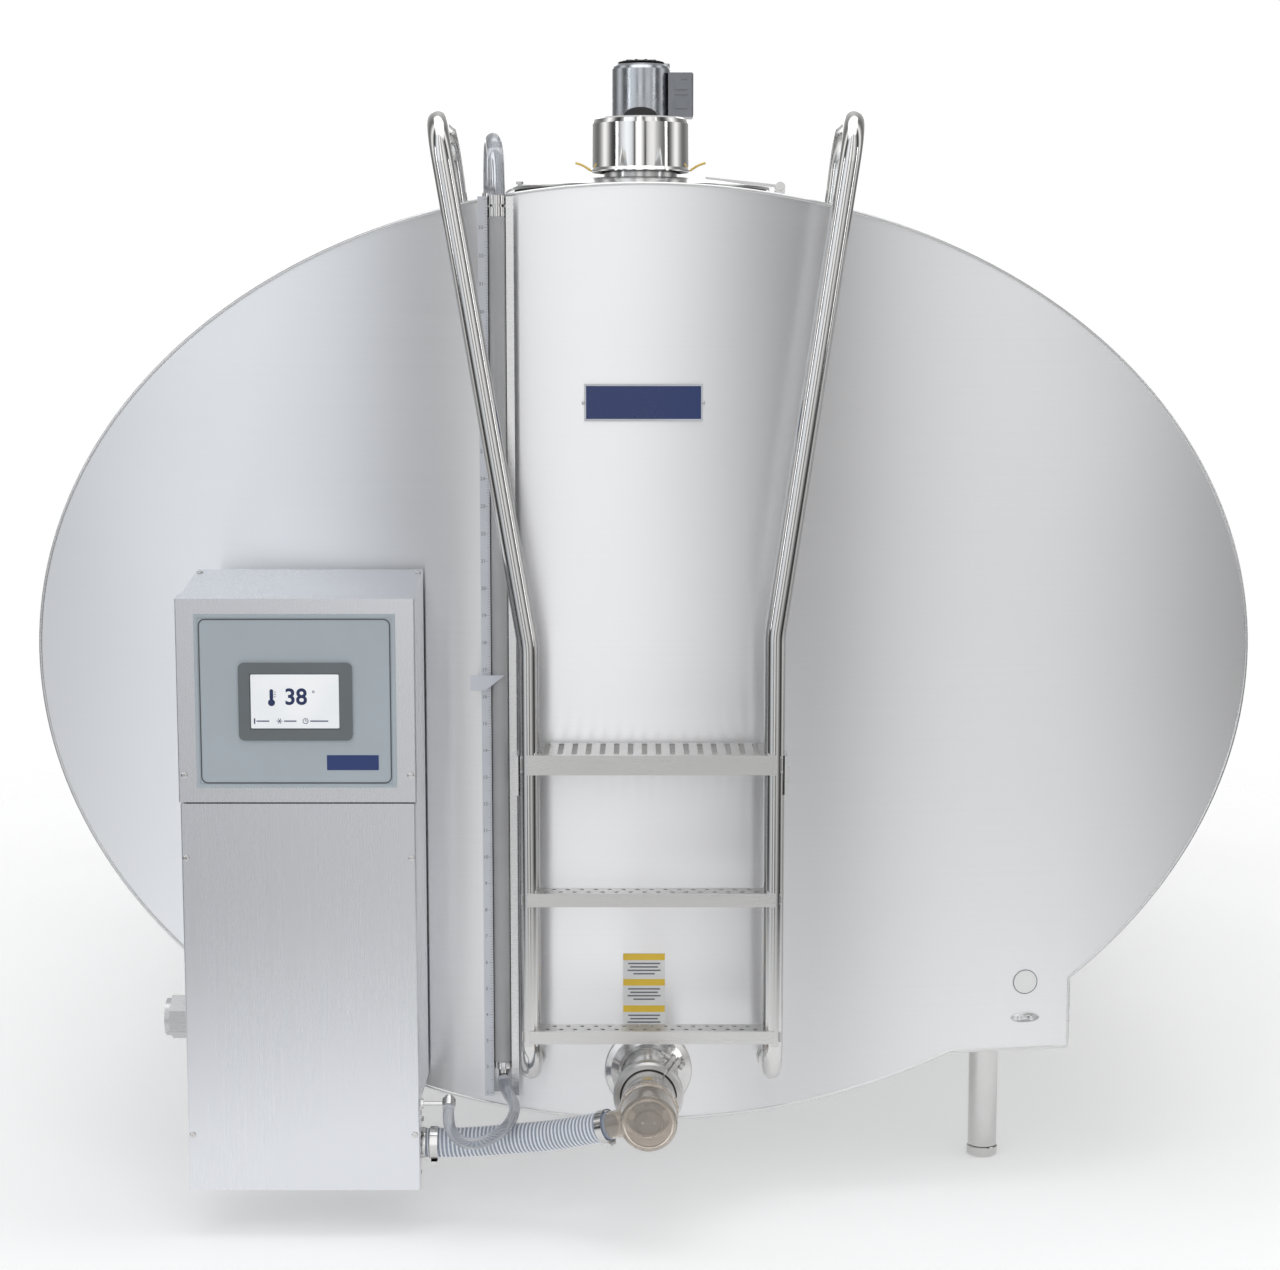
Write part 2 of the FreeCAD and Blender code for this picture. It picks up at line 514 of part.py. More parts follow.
br = []
for x in (RAIL_XL, RAIL_XR):
    b = box(x - 3 + (21.5 if x > 0 else -21.5), x + 3 + (21.5 if x > 0 else -21.5), RAIL_Y - 12, -60, 800, 872)
    arm = box(min(x, x + (27 if x > 0 else -27)), max(x, x + (27 if x > 0 else -27)), RAIL_Y - 4, RAIL_Y + 4, 820, 850)
    b = fuse(b, arm)
    b = cut(b, lens(-0.3), cyl((x, RAIL_Y, 700), (0, 0, 1), RAIL_R + 0.1, 300))
    br.append(max(b.Solids, key=lambda s: s.Volume))
cb = []
for z in (330.0, 1090.0):
    b = box(CAB_X0 + 30, CAB_X1 - 30, CAB_Y1 + 0.2, 60, z, z + 50)
    b = cut(b, box(CAB_X0 + 40, CAB_X1 - 40, CAB_Y1 + 6, 100, z - 1, z + 51), lens(-0.3))
    cb.append(max(b.Solids, key=lambda s: s.Volume))
OUT["standoff_brackets"] = group(*(br + cb))

# --------------------------------------------------------------- level gauge
GX = -263.0                       # sight tube axis
GY = -168.0
GZ0, GZ1 = 209.0, 1870.0
hat = [(-301.5, -176.5), (-288.5, -176.5), (-288.5, -152.0), (-251.5, -152.0), (-251.5, -176.5), (-240.0, -176.5),
       (-240.0, -178.5), (-253.5, -178.5), (-253.5, -154.0), (-286.5, -154.0), (-286.5, -178.5), (-301.5, -178.5)]
hat = [(x + 270.0 + GX, y) for x, y in hat]
GCH = prism([(x, y, GZ0) for x, y in hat], (0, 0, GZ1 - GZ0))
pads_g = [cut(box(GX - 14, GX + 14, -151.8, -60, z, z + 60), lens(-0.3)) for z in (330.0, 1000.0, 1700.0)]
GCH = fuse(GCH, *[max(p.Solids, key=lambda s: s.Volume).fuse(box(GX - 14, GX + 14, -153.0, -151.5, z, z + 60))
                  for p, z in zip(pads_g, (330.0, 1000.0, 1700.0))])
OUT["gauge_channel"] = max(GCH.Solids, key=lambda s: s.Volume)
OUT["gauge_ruler"] = box(GX - 34.0, GX - 16.8, -180.2, -178.7, GZ0, GZ1)
TUBE_R = 15.8
OUT["sight_tube"] = tube((GX, GY - 3.5, 275), (0, 0, 1), TUBE_R, TUBE_R - 2, 1559)
fit_top = fuse(cyl((GX, GY - 3.5, 1834.2), (0, 0, 1), 16.2, 17), cyl((GX, GY - 3.5, 1850), (0, 0, 1), 12, 8),
               cyl((GX, GY - 3.5, 1856), (0, 0, 1), 16.2, 16))
barb_d = V(4.0, -28.5, -20.0)
barb_d.normalize()
barb_p = V(GX, GY - 3.5, 248.0)
fit_bot = fuse(cyl((GX, GY - 3.5, 262), (0, 0, 1), 16.2, 12.8), cyl((GX, GY - 3.5, 248), (0, 0, 1), 8, 15),
               Part.makeSphere(8, barb_p), Part.makeCylinder(8, 9, barb_p, barb_d))
back_stub = cut(cyl((GX - 20, 2, 1850), (0, 0, 1), 17, 34), ellipse_block(A_OUT + 0.3, B_OUT + 0.3, -100, 200))
OUT["gauge_fittings"] = group(fit_top, fit_bot, max(back_stub.Solids, key=lambda s: s.Volume))
# sliding marker on the ruler, gripping its edge
mk = fuse(box(GX - 54.0, GX - 26.0, -190.6, -188.0, 978, 1006),
          box(GX - 38.4, GX - 34.4, -190.0, -176.9, 978, 1006),
          box(GX - 38.4, GX - 27.0, -183.0, -180.6, 978, 1006),
          prism([(GX - 26.5, -190.6, 1006), (GX + 9.0, -190.6, 1006), (GX - 26.5, -190.6, 978)], (0, 2.6, 0)))
OUT["gauge_pointer"] = mk

# -------------------------------------------------------------------- hoses
hx, hy = GX, GY - 3.5
vent_pts = [(hx, hy, 1872.2), (hx, hy, 1926.0), (hx - 7, -126.0, 1974.0), (hx - 15, -50.0, 1976.0),
            (hx - 20, 2.0, 1930.0), (hx - 20, 2.0, 1884.3)]
w = route(vent_pts, None, "gauge_vent_hose")
OUT["gauge_vent_hose"] = sweep(w, VENT_HOSE_R, "gauge_vent_hose")
bs = barb_p + barb_d * 9.2
drain_pts = [(bs.x, bs.y, bs.z), (bs.x + 3.0, bs.y - 21.4, bs.z - 15.0), (-235.0, -252.0, 213.5), (-239.0, -335.0, 210.5),
             (-262.0, -372.0, 197.0), (-296.5, -391.0, 187.0), (-325.2, -392.0, 190.0), (-344.6, -384.0, 207.5),
             (-351.6, -366.0, 225.6), (-351.9, -345.0, 240.2)]
w = route(drain_pts, None, "gauge_drain_hose")
print("drain route", [tuple(round(c, 1) for c in p) for p in drain_pts])
print("vent route", [tuple(round(c, 1) for c in p) for p in vent_pts])
OUT["gauge_drain_hose"] = sweep(w, DRAIN_HOSE_R, "gauge_drain_hose")
ed = V(*drain_pts[-1]) - V(*drain_pts[-2])
ed.normalize()
pe = V(*drain_pts[-1])
clip = fuse(Part.makeCylinder(12.5, 16, pe + ed * 0.2, ed), Part.makeCylinder(8, 8, pe + ed * 15, ed))
rod_p = pe + ed * 9
rod = cyl((CAB_X1 + 0.3, rod_p.y, rod_p.z), (1, 0, 0), 4, rod_p.x - CAB_X1 - 2)
OUT["hose_clip"] = fuse(clip, rod, cyl((CAB_X1 + 0.3, rod_p.y, rod_p.z), (1, 0, 0), 9, 4))

# ------------------------------------------------------------ outlet assembly
ox, oz = OUT_X, OUT_Z
pipe = revolve([(48.6, -70), (50.8, -70), (50.8, 125), (80.0, 137), (80.0, 142.5), (70, 146), (56, 157), (52, 166),
                (50.8, 172), (50.8, 283), (59.5, 287), (59.5, 291), (48.6, 291)], (ox, 0, oz), (0, -1, 0))
pipe = cut(pipe, E0.common(lens(70.0 - 0.3)), cyl((ox, -200, oz), (0, 1, 0), 48.6, 200))
keep = max(pipe.Solids, key=lambda s: s.Volume)
# the flared dish outside the end plate lies just off the plate
band = cut(L0, lens(SKIN + 0.6)).common(box(-200, 200, -300, 0, 100, 400))
keep = cut(keep, cut(lens(-0.3), lens(SKIN + 0.4)).common(cut(cyl((ox, -200, oz), (0, 1, 0), 120, 200),
                                                            cyl((ox, -200, oz), (0, 1, 0), 50.8, 200))))
keep = max(keep.Solids, key=lambda s: s.Volume)
keep = cut(keep, cut(lens(SKIN + 0.4), lens(75)).common(cut(cyl((ox, -200, oz), (0, 1, 0), 120, 200),
                                                           cyl((ox, -200, oz), (0, 1, 0), 50.8, 200))))
OUT["outlet_flange"] = max(keep.Solids, key=lambda s: s.Volume)

body = revolve([(44, 291.2), (59.5, 291.2), (59.5, 295.2), (51, 299), (50, 304), (50, 358), (47, 364), (47, 384),
                (44, 384)], (ox, 0, oz), (0, -1, 0))
seat = revolve([(30, 300), (46, 300), (46, 306), (30, 306)], (ox, 0, oz), (0, -1, 0))
OUT["outlet_valve"] = fuse(body, seat)


def half_ring(sign):
    r = revolve([(52.0, 299.6), (60.2, 295.7), (60.2, 286.6), (52.0, 283.0), (52.0, 280), (60, 279), (64, 283),
                 (64, 299), (60, 303), (52.0, 302.6)], (ox, 0, oz), (0, -1, 0))
    return r


ringc = half_ring(1)
gapbox = box(-1.5, 1.5, -320, -260, 0, 200)
g1 = gapbox.copy()
g1.rotate(V(0, 0, 0), V(0, 1, 0), 36)
g1.translate(V(ox, 0, oz))
g2 = gapbox.copy()
g2.rotate(V(0, 0, 0), V(0, 1, 0), 216)
g2.translate(V(ox, 0, oz))
clamp_cut = cut(ringc, g1, g2)
halves = clamp_cut.Solids


def polar(a, r):
    """point at radius r, angle a clockwise from the top seen from the front"""
    t = math.radians(a)
    return ox + r * math.sin(t), oz + r * math.cos(t)


ears = []
for a, s in ((36, -1), (36, 1), (216, -1), (216, 1)):
    e = box(min(2 * s, 9 * s), max(2 * s, 9 * s), -300, -282, 60.5, 88 if a == 36 else 76)
    e.rotate(V(0, 0, 0), V(0, 1, 0), a)
    e.translate(V(ox, 0, oz))
    ears.append(e)
# the bolt runs through the two ears at the upper right
bd = V(-math.cos(math.radians(36)), 0, math.sin(math.radians(36)))   # across the gap, up to the left
rc = polar(36, 80)
bolt = Part.makeCylinder(4, 48, V(rc[0], -291, rc[1]) - bd * 20, bd)
head = Part.makeCylinder(7, 7, V(rc[0], -291, rc[1]) - bd * 20, bd)
hc = Part.makeCylinder(4.06, 60, V(rc[0], -291, rc[1]) - bd * 30, bd)
cl = []
for h in halves:
    for e in ears:
        c = fuse(h, e)
        if len(c.Solids) == 1 and c.Volume < h.Volume + e.Volume - 1:
            h = c
    cl.append(cut(h, hc, cyl((ox, -330, oz), (0, 1, 0), 52.0, 80)))
r2 = polar(216, 70)
pinh = Part.makeCylinder(3.5, 18, V(r2[0], -300, r2[1]), V(0, 1, 0))
OUT["outlet_clamp"] = group(*([cut(c, Part.makeCylinder(3.6, 60, V(r2[0], -320, r2[1]), V(0, 1, 0))) for c in cl] +
                              [pinh, fuse(bolt, head)]))
# wing nut on the bolt's free end
wn_c = V(rc[0], -291, rc[1]) + bd * 9.4
wn = Part.makeCylinder(7, 11, wn_c, bd)
up = V(math.sin(math.radians(36)), 0, math.cos(math.radians(36)))
for k in (1, -1):
    corners = [wn_c + bd * a + up * (k * b) + V(0, -1.6, 0)
               for a, b in ((2.5, 5), (6, 10), (9, 15.5), (13, 16.5), (14.5, 14), (11.5, 9.5), (10.5, 5))]
    wn = fuse(wn, Part.Face(Part.makePolygon(corners + [corners[0]])).extrude(V(0, 3.2, 0)))
wn = cut(wn, Part.makeCylinder(4.06, 80, V(rc[0], -291, rc[1]), bd))
OUT["clamp_wing_nut"] = max(wn.Solids, key=lambda s: s.Volume)

# clear amber housing with a side spigot, and the plug that slides inside it
hose_u = V(-0.8368, 0.4435, -0.3209)
hose_u.normalize()
sp_c = V(ox, -420, oz)
hous = revolve([(47.4, 380.0), (53.5, 380.0), (53.5, 392), (51, 394), (51, 454), (48, 461), (40, 462), (38.5, 458.5),
                (27, 458.5), (25.5, 461), (22.5, 461), (22, 454), (40, 454), (46.5, 448)], (ox, 0, oz), (0, -1, 0))
front_wall = revolve([(0, 453), (47, 453), (47, 456.5), (0, 456.5)], (ox, 0, oz), (0, -1, 0))
for k in range(6):
    a = math.radians(60 * k + 12)
    lg = box(-8, 8, -392, -376.0, 50.6, 54.6)
    lg.rotate(V(0, 0, 0), V(0, 1, 0), 60 * k + 12)
    lg.translate(V(ox, 0, oz))
    hous = fuse(hous, lg)
spig = Part.makeCylinder(25, 78 - 30, sp_c + hose_u * 30, hose_u)
hous = fuse(hous, spig)
hous = fuse(hous, front_wall)
hous = cut(hous, cyl((ox, -450, oz), (0, 1, 0), 46.5, 65.9), cyl((ox, -384.2, oz), (0, 1, 0), 47.3, 30),
           cyl((ox, -363.8, oz), (0, 1, 0), 50.3, 60),
           Part.makeCylinder(21.5, 100, sp_c, hose_u), cyl((ox, -452.9, oz), (0, 1, 0), 40, 10))
OUT["outlet_housing"] = max(hous.Solids, key=lambda s: s.Volume)
plug = revolve([(0, 306.4), (33, 306.4), (36, 309), (36, 313), (30, 317), (7, 319), (7, 424), (24.5, 426), (24.5, 431),
                (0, 431)], (ox, 0, oz), (0, -1, 0))
OUT["outlet_plug"] = plug

q = sp_c + hose_u * 78.2
p4 = q + hose_u * 100
hose_pts = [(-398.0, PUMP_Y, PUMP_Z), (-353.0, PUMP_Y, PUMP_Z), (-293.5, -294.3, 159.6), (-224.3, -310.4, 171.2),
            (p4.x, p4.y, p4.z), (q.x, q.y, q.z)]
print("suction route", [tuple(round(c, 1) for c in p) for p in hose_pts])
w = route(hose_pts, None, "suction_hose")
OUT["suction_hose"] = sweep(w, HOSE_R, "suction_hose")
hc1 = tube((-390, PUMP_Y, PUMP_Z), (1, 0, 0), HOSE_R + 2.2, HOSE_R + 0.3, 14)
hc1 = fuse(hc1, box(-389, -377, PUMP_Y - 20, PUMP_Y - 2, PUMP_Z - HOSE_R - 10, PUMP_Z - HOSE_R - 1.2))
hc1 = cut(hc1, cyl((-395, PUMP_Y, PUMP_Z), (1, 0, 0), HOSE_R + 0.3, 30))
c2 = q + hose_u * 6
hc2 = Part.makeCylinder(HOSE_R + 2.2, 14, c2, hose_u).cut(Part.makeCylinder(HOSE_R + 0.3, 14, c2, hose_u))
side = hose_u.cross(V(0, 0, 1))
side.normalize()
dn = side.cross(hose_u)
if dn.z > 0:
    dn = dn * -1
bk = Part.makeCylinder(5, 20, c2 + hose_u * 7 + dn * (HOSE_R + 5.5) - side * 10, side)
hc2 = fuse(hc2, bk)
hc2 = cut(hc2, Part.makeCylinder(HOSE_R + 0.3, 60, c2 - hose_u * 20, hose_u))
OUT["hose_clamps"] = group(hc1, hc2)

# ------------------------------------------------------------------- cabinet
def cab_prism(x0, x1, y0, y1, z0, d):
    """box with the sloping top, moved in by d"""
    zf = CAB_ZF + (y0 - CAB_Y0) / (CAB_Y1 - CAB_Y0) * (CAB_ZB - CAB_ZF) - d
    zb = CAB_ZF + (y1 - CAB_Y0) / (CAB_Y1 - CAB_Y0) * (CAB_ZB - CAB_ZF) - d
    return prism([(x0, y0, z0), (x0, y1, z0), (x0, y1, zb), (x0, y0, zf)], (x1 - x0, 0, 0))


cab = cab_prism(CAB_X0 + 4.2, CAB_X1 - 4.2, CAB_Y0 + 4.0, CAB_Y1, CAB_Z0, 1.6)
cab = cut(cab, cab_prism(CAB_X0 + 6.2, CAB_X1 - 6.2, CAB_Y0 - 10, CAB_Y1 - 2.0, CAB_Z0 + 2, 3.6))
cab = cut(cab, cyl((CAB_X0 - 20, -240, 379), (1, 0, 0), 30.5, 60),
          box(-740, -418, PUMP_Y - 40, PUMP_Y + 40, CAB_Z0 - 5, CAB_Z0 + 10))
CAB = max(cab.Solids, key=lambda s: s.Volume)


def cover(x0, x1, z0, z1, slope):
    """shallow pan: front sheet with side returns"""
    f = box(x0, x1, CAB_Y0, CAB_Y0 + 30, z0, z1)
    inner = box(x0 + 1.4, x1 - 1.4, CAB_Y0 + 1.4, CAB_Y0 + 60, z0 + 1.4, z1 - (1.4 if not slope else -60))
    if slope:
        f = box(x0, x1, CAB_Y0, CAB_Y0 + 30, z0, z1 + 30)
        f = f.common(cab_prism(x0 - 1, x1 + 1, CAB_Y0, CAB_Y1, z0 - 10, 0))
        inner = cab_prism(x0 + 1.4, x1 - 1.4, CAB_Y0 + 1.4, CAB_Y1 + 100, z0 + 1.4, 1.4)
    ed = [e for e in f.Edges if abs(e.BoundBox.YMax - CAB_Y0) < 0.01 and e.BoundBox.ZLength > 50]
    f = f.makeFillet(3.0, ed)
    return cut(f, inner)


OUT["upper_cover"] = cover(CAB_X0, CAB_X1, COVER_SEAM + 1.2, CAB_ZF, True)
low = cover(CAB_X0 + 2.5, CAB_X1 - 2.5, COVER_Z0, COVER_SEAM - 1.2, False)
OUT["lower_cover"] = low
OUT["cabinet_body"] = max(cut(CAB, box(CAB_X0 - 1, CAB_X1 + 1, CAB_Y0 - 1, CAB_Y0 + 30.2, 797.0, 806.0)).Solids,
                          key=lambda s: s.Volume)
# embossed frame and display plate on the upper cover
uc = OUT["upper_cover"]
OUT["display_plate"] = fuse(
    cut(box(-791, -436.8, CAB_Y0 - 2.0, CAB_Y0 - 0.1, 829.5, 1139.2),
        box(-785, -443, CAB_Y0 - 4, CAB_Y0 - 1.0, 835.8, 1133)),
    box(-783, -445.1, CAB_Y0 - 1.6, CAB_Y0 - 0.5, 837, 1131))
bz = box(-713.8, -513.5, CAB_Y0 - 6.0, CAB_Y0 - 1.8, 914.8, 1053.2)
bz = bz.makeFillet(10, [e for e in bz.Edges if e.BoundBox.YLength > 4 and e.BoundBox.XLength < 0.1])
bz = cut(bz, box(-694, -534.6, CAB_Y0 - 8, CAB_Y0 - 3.0, 934.5, 1034.5))
scr = box(-693.8, -534.8, CAB_Y0 - 4.4, CAB_Y0 - 3.2, 934.7, 1034.3)
OUT["touch_screen"] = group(bz, scr)


def screw(x, y, z, d):
    s = revolve([(0, 0), (6.0, 0), (5.2, 1.6), (3.2, 2.4), (0, 2.4)], (0, 0, 0), (0, 0, 1))
    s = cut(s, cyl((0, 0, 1.2), (0, 0, 1), 1.6, 3))
    if d == "front":
        s.rotate(V(0, 0, 0), V(1, 0, 0), 90)
        s.translate(V(x, CAB_Y0 - 0.1, z))
    else:
        s.rotate(V(0, 0, 0), V(1, 0, 0), math.degrees(math.atan2(CAB_ZB - CAB_ZF, CAB_Y1 - CAB_Y0)))
        s.translate(V(x, y, z))
    return s


scs = [screw(x, 0, z, "front") for x, z in ((-813.5, 852), (-412.5, 852), (-813.5, 702), (-412.5, 702),
                                             (-813.5, 192), (-412.5, 192))]
for x in (-812, -413):
    y = CAB_Y1 - 24
    z = CAB_ZF + (y - CAB_Y0) / (CAB_Y1 - CAB_Y0) * (CAB_ZB - CAB_ZF) - 1.5 + 0.4
    scs.append(screw(x, y, z, "top"))
OUT["cabinet_screws"] = group(*scs)
cbd = fuse(box(-770, -470, -170, -166, 700, 1080),
           box(-740, -620, -220, -170, 900, 1040), box(-600, -500, -210, -170, 920, 1030),
           box(-740, -500, -200, -170, 760, 830))
OUT["control_board"] = cbd

# drain union on the left side of the cabinet
hexa = [(-826.2, -240 + 41 * math.cos(math.radians(60 * k + 30)), 379 + 41 * math.sin(math.radians(60 * k + 30)))
        for k in range(6)]
un = prism(hexa, (-40, 0, 0))
un = fuse(un, cyl((-866, -240, 379), (-1, 0, 0), 34, 10), cyl((-827, -240, 379), (1, 0, 0), 30.2, 57))
un = cut(un, cyl((-900, -240, 379), (1, 0, 0), 26.2, 200))
OUT["drain_union"] = un

# wash pump under the cabinet
px = -404.0
ph = fuse(cyl((px - 56, PUMP_Y, PUMP_Z), (1, 0, 0), 58, 44), cyl((px - 14, PUMP_Y, PUMP_Z), (1, 0, 0), 63, 8),
          cyl((px - 8, PUMP_Y, PUMP_Z), (1, 0, 0), HOSE_R, 13.8),
          cyl((px - 34, PUMP_Y - 0, PUMP_Z + 20), (0, 0, 1), 18, 66))
for k in range(6):
    a = math.radians(60 * k + 30)
    ph = fuse(ph, cyl((px - 7, PUMP_Y + 57 * math.cos(a), PUMP_Z + 57 * math.sin(a)), (1, 0, 0), 5, 4.5))
ph = cut(ph, cyl((px - 50, PUMP_Y, PUMP_Z), (1, 0, 0), 54, 34), cyl((px - 20, PUMP_Y, PUMP_Z), (1, 0, 0), 21.5, 40),
         cyl((px - 60, PUMP_Y, PUMP_Z), (1, 0, 0), 8.06, 20), cyl((px - 34, PUMP_Y, PUMP_Z + 30), (0, 0, 1), 14, 60))
OUT["pump_housing"] = ph
imp = fuse(cyl((px - 46, PUMP_Y, PUMP_Z), (1, 0, 0), 48, 5), cyl((px - 46, PUMP_Y, PUMP_Z), (1, 0, 0), 12, 20),
           cyl((px - 100, PUMP_Y, PUMP_Z), (1, 0, 0), 8, 60))
for k in range(5):
    v = box(0, 4, 8, 46, 0, 16)
    v.rotate(V(0, 0, 0), V(0, 0, 1), 72 * k)
    v.rotate(V(0, 0, 0), V(0, 1, 0), 90)
    v.translate(V(px - 42, PUMP_Y, PUMP_Z))
    imp = fuse(imp, v)
OUT["pump_impeller"] = imp
pm = revolve([(8.3, 0), (50, 0), (56, 5), (56, 200), (50, 210), (0, 210), (0, 45), (8.3, 45)], (px - 57, PUMP_Y, PUMP_Z),
             (-1, 0, 0))
pm = fuse(pm, box(px - 200, px - 120, PUMP_Y - 28, PUMP_Y + 28, PUMP_Z + 50, PUMP_Z + 80))
OUT["pump_motor"] = pm

# --------------------------------------------------------------- front plate
OUT["name_plate"] = on_head(-106.5, 106.7, 1468.5, 1534.5, 1.6)

# ------------------------------------------------------------- write the lot
os.makedirs("parts", exist_ok=True)
assert len(OUT) <= 60, len(OUT)
bb = None
cords = ("suction_hose", "gauge_vent_hose", "gauge_drain_hose")
for name, s in OUT.items():
    if not s.isValid():
        print("not valid:", name)
    s = s.copy()
    s.translate(V(0, Y_SHIFT, 0))
    s.exportStep("parts/%s.step" % name)
    if name not in cords:
        b = s.BoundBox
        bb = b if bb is None else bb.united(b)
print("nodes", len(OUT))
print("box X %.2f %.2f  Y %.2f %.2f  Z %.2f %.2f" % (bb.XMin, bb.XMax, bb.YMin, bb.YMax, bb.ZMin, bb.ZMax))
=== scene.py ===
import bpy
import bmesh
import math
from mathutils import Vector, Matrix


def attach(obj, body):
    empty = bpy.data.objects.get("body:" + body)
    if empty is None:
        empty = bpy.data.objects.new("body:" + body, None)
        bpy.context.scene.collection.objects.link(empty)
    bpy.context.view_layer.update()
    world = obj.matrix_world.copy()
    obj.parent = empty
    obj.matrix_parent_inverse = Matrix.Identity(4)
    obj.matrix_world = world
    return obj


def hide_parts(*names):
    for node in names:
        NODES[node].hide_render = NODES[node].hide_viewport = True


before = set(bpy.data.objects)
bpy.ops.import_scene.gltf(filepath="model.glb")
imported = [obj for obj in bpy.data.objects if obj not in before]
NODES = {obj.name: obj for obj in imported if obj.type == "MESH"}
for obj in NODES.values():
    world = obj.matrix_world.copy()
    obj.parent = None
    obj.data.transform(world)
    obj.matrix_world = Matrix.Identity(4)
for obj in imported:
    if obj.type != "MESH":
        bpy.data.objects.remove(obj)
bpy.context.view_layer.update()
YS = -1.369                     # the same shift along the length as in the CAD
scene = bpy.context.scene

# ------------------------------------------------------------------ camera
cam_data = bpy.data.cameras.new("camera")
cam = bpy.data.objects.new("camera", cam_data)
scene.collection.objects.link(cam)
cam_data.sensor_fit = "HORIZONTAL"
cam_data.sensor_width = 36.0
cam_data.lens = 2480.0 / 1280.0 * 36.0
cam_data.shift_x = -3.5 / 1280.0
cam_data.clip_end = 100.0
cam.location = (0.0, -4.677 + YS, 1.665)
cam.rotation_euler = (math.radians(90.0 - 7.42), 0.0, 0.0)
scene.camera = cam


# ------------------------------------------------------------- mesh helpers
def new_obj(name, bm, body, mat=None, smooth=True):
    me = bpy.data.meshes.new(name)
    bm.normal_update()
    bm.to_mesh(me)
    bm.free()
    if smooth:
        for p in me.polygons:
            p.use_smooth = True
    ob = bpy.data.objects.new(name, me)
    scene.collection.objects.link(ob)
    if mat is not None:
        me.materials.append(mat)
    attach(ob, body)
    return ob


def frames_along(pts, closed=False):
    """a steady pair of side directions at every point of a polyline"""
    n = len(pts)
    tang = []
    for i in range(n):
        a = pts[(i - 1) % n] if (closed or i > 0) else pts[i]
        b = pts[(i + 1) % n] if (closed or i < n - 1) else pts[i]
        tang.append((b - a).normalized())
    up = Vector((0, 0, 1))
    if abs(tang[0].dot(up)) > 0.9:
        up = Vector((1, 0, 0))
    u = (up - tang[0] * up.dot(tang[0])).normalized()
    out = []
    for t in tang:
        u = (u - t * u.dot(t)).normalized()
        out.append((u.copy(), t.cross(u).normalized()))
    return out


def add_tube(bm, pts, r, segs=12, closed=False, caps=True, flat=1.0):
    fr = frames_along(pts, closed)
    rings = []
    for p, (u, v) in zip(pts, fr):
        rings.append([bm.verts.new(p + u * (r * math.cos(2 * math.pi * k / segs)) +
                                   v * (r * flat * math.sin(2 * math.pi * k / segs))) for k in range(segs)])
    n = len(rings)
    for i in range(n if closed else n - 1):
        a, b = rings[i], rings[(i + 1) % n]
        for k in range(segs):
            bm.faces.new((a[k], a[(k + 1) % segs], b[(k + 1) % segs], b[k]))
    if caps and not closed:
        bm.faces.new(rings[0][::-1])
        bm.faces.new(rings[-1])


def add_box(bm, x0, x1, y0, y1, z0, z1, bevel=0.0, segs=2):
    r = bmesh.ops.create_cube(bm, size=1.0)
    vs = r["verts"]
    bmesh.ops.scale(bm, vec=(x1 - x0, y1 - y0, z1 - z0), verts=vs)
    bmesh.ops.translate(bm, vec=((x0 + x1) / 2, (y0 + y1) / 2, (z0 + z1) / 2), verts=vs)
    if bevel:
        es = list({e for v in vs for e in v.link_edges})
        bmesh.ops.bevel(bm, geom=es, offset=bevel, segments=segs, affect="EDGES", profile=0.6)


def add_plate(bm, outline, y_of, thick, z_mid=None):
    """flat outline in X, Z laid on a surface given by y_of(x), with a thickness towards the front"""
    front = [bm.verts.new((x, y_of(x) - thick, z)) for x, z in outline]
    back = [bm.verts.new((x, y_of(x), z)) for x, z in outline]
    bm.faces.new(front)
    bm.faces.new(back[::-1])
    n = len(outline)
    for i in range(n):
        j = (i + 1) % n
        bm.faces.new((front[i], back[i], back[j], front[j]))


def add_grid_plate(bm, x0, x1, z0, z1, y_of, thick, nx=24):
    """rectangular plate that follows the bow of the end plate"""
    xs = [x0 + (x1 - x0) * i / nx for i in range(nx + 1)]
    f = [[bm.verts.new((x, y_of(x) - thick, z)) for z in (z0, z1)] for x in xs]
    b = [[bm.verts.new((x, y_of(x), z)) for z in (z0, z1)] for x in xs]
    for i in range(nx):
        bm.faces.new((f[i][0], f[i + 1][0], f[i + 1][1], f[i][1]))
        bm.faces.new((b[i][0], b[i][1], b[i + 1][1], b[i + 1][0]))
        bm.faces.new((f[i][0], b[i][0], b[i + 1][0], f[i + 1][0]))
        bm.faces.new((f[i][1], f[i + 1][1], b[i + 1][1], b[i][1]))
    bm.faces.new((f[0][0], f[0][1], b[0][1], b[0][0]))
    bm.faces.new((f[nx][0], b[nx][0], b[nx][1], f[nx][1]))


def add_lathe(bm, prof, origin, axis, segs=40):
    """(r, h) outline turned about an axis"""
    a = Vector(axis).normalized()
    u = Vector((1, 0, 0)) if abs(a.x) < 0.9 else Vector((0, 1, 0))
    u = (u - a * u.dot(a)).normalized()
    v = a.cross(u)
    o = Vector(origin)
    rings = []
    for r, h in prof:
        if r < 1e-7:
            rings.append([bm.verts.new(o + a * h)])
        else:
            rings.append([bm.verts.new(o + a * h + (u * math.cos(2 * math.pi * k / segs) +
                                                    v * math.sin(2 * math.pi * k / segs)) * r) for k in range(segs)])
    for i in range(len(rings) - 1):
        p, q = rings[i], rings[i + 1]
        for k in range(segs):
            k2 = (k + 1) % segs
            if len(p) == 1 and len(q) == 1:
                continue
            if len(p) == 1:
                bm.faces.new((p[0], q[k2], q[k]))
            elif len(q) == 1:
                bm.faces.new((p[k], p[k2], q[0]))
            else:
                bm.faces.new((p[k], p[k2], q[k2], q[k]))


R_BOW = (1.148 ** 2 + 0.14 ** 2) / 0.28


def head_y(x):
    """surface of the front end plate"""
    return -0.14 + R_BOW - math.sqrt(R_BOW * R_BOW - x * x) + YS


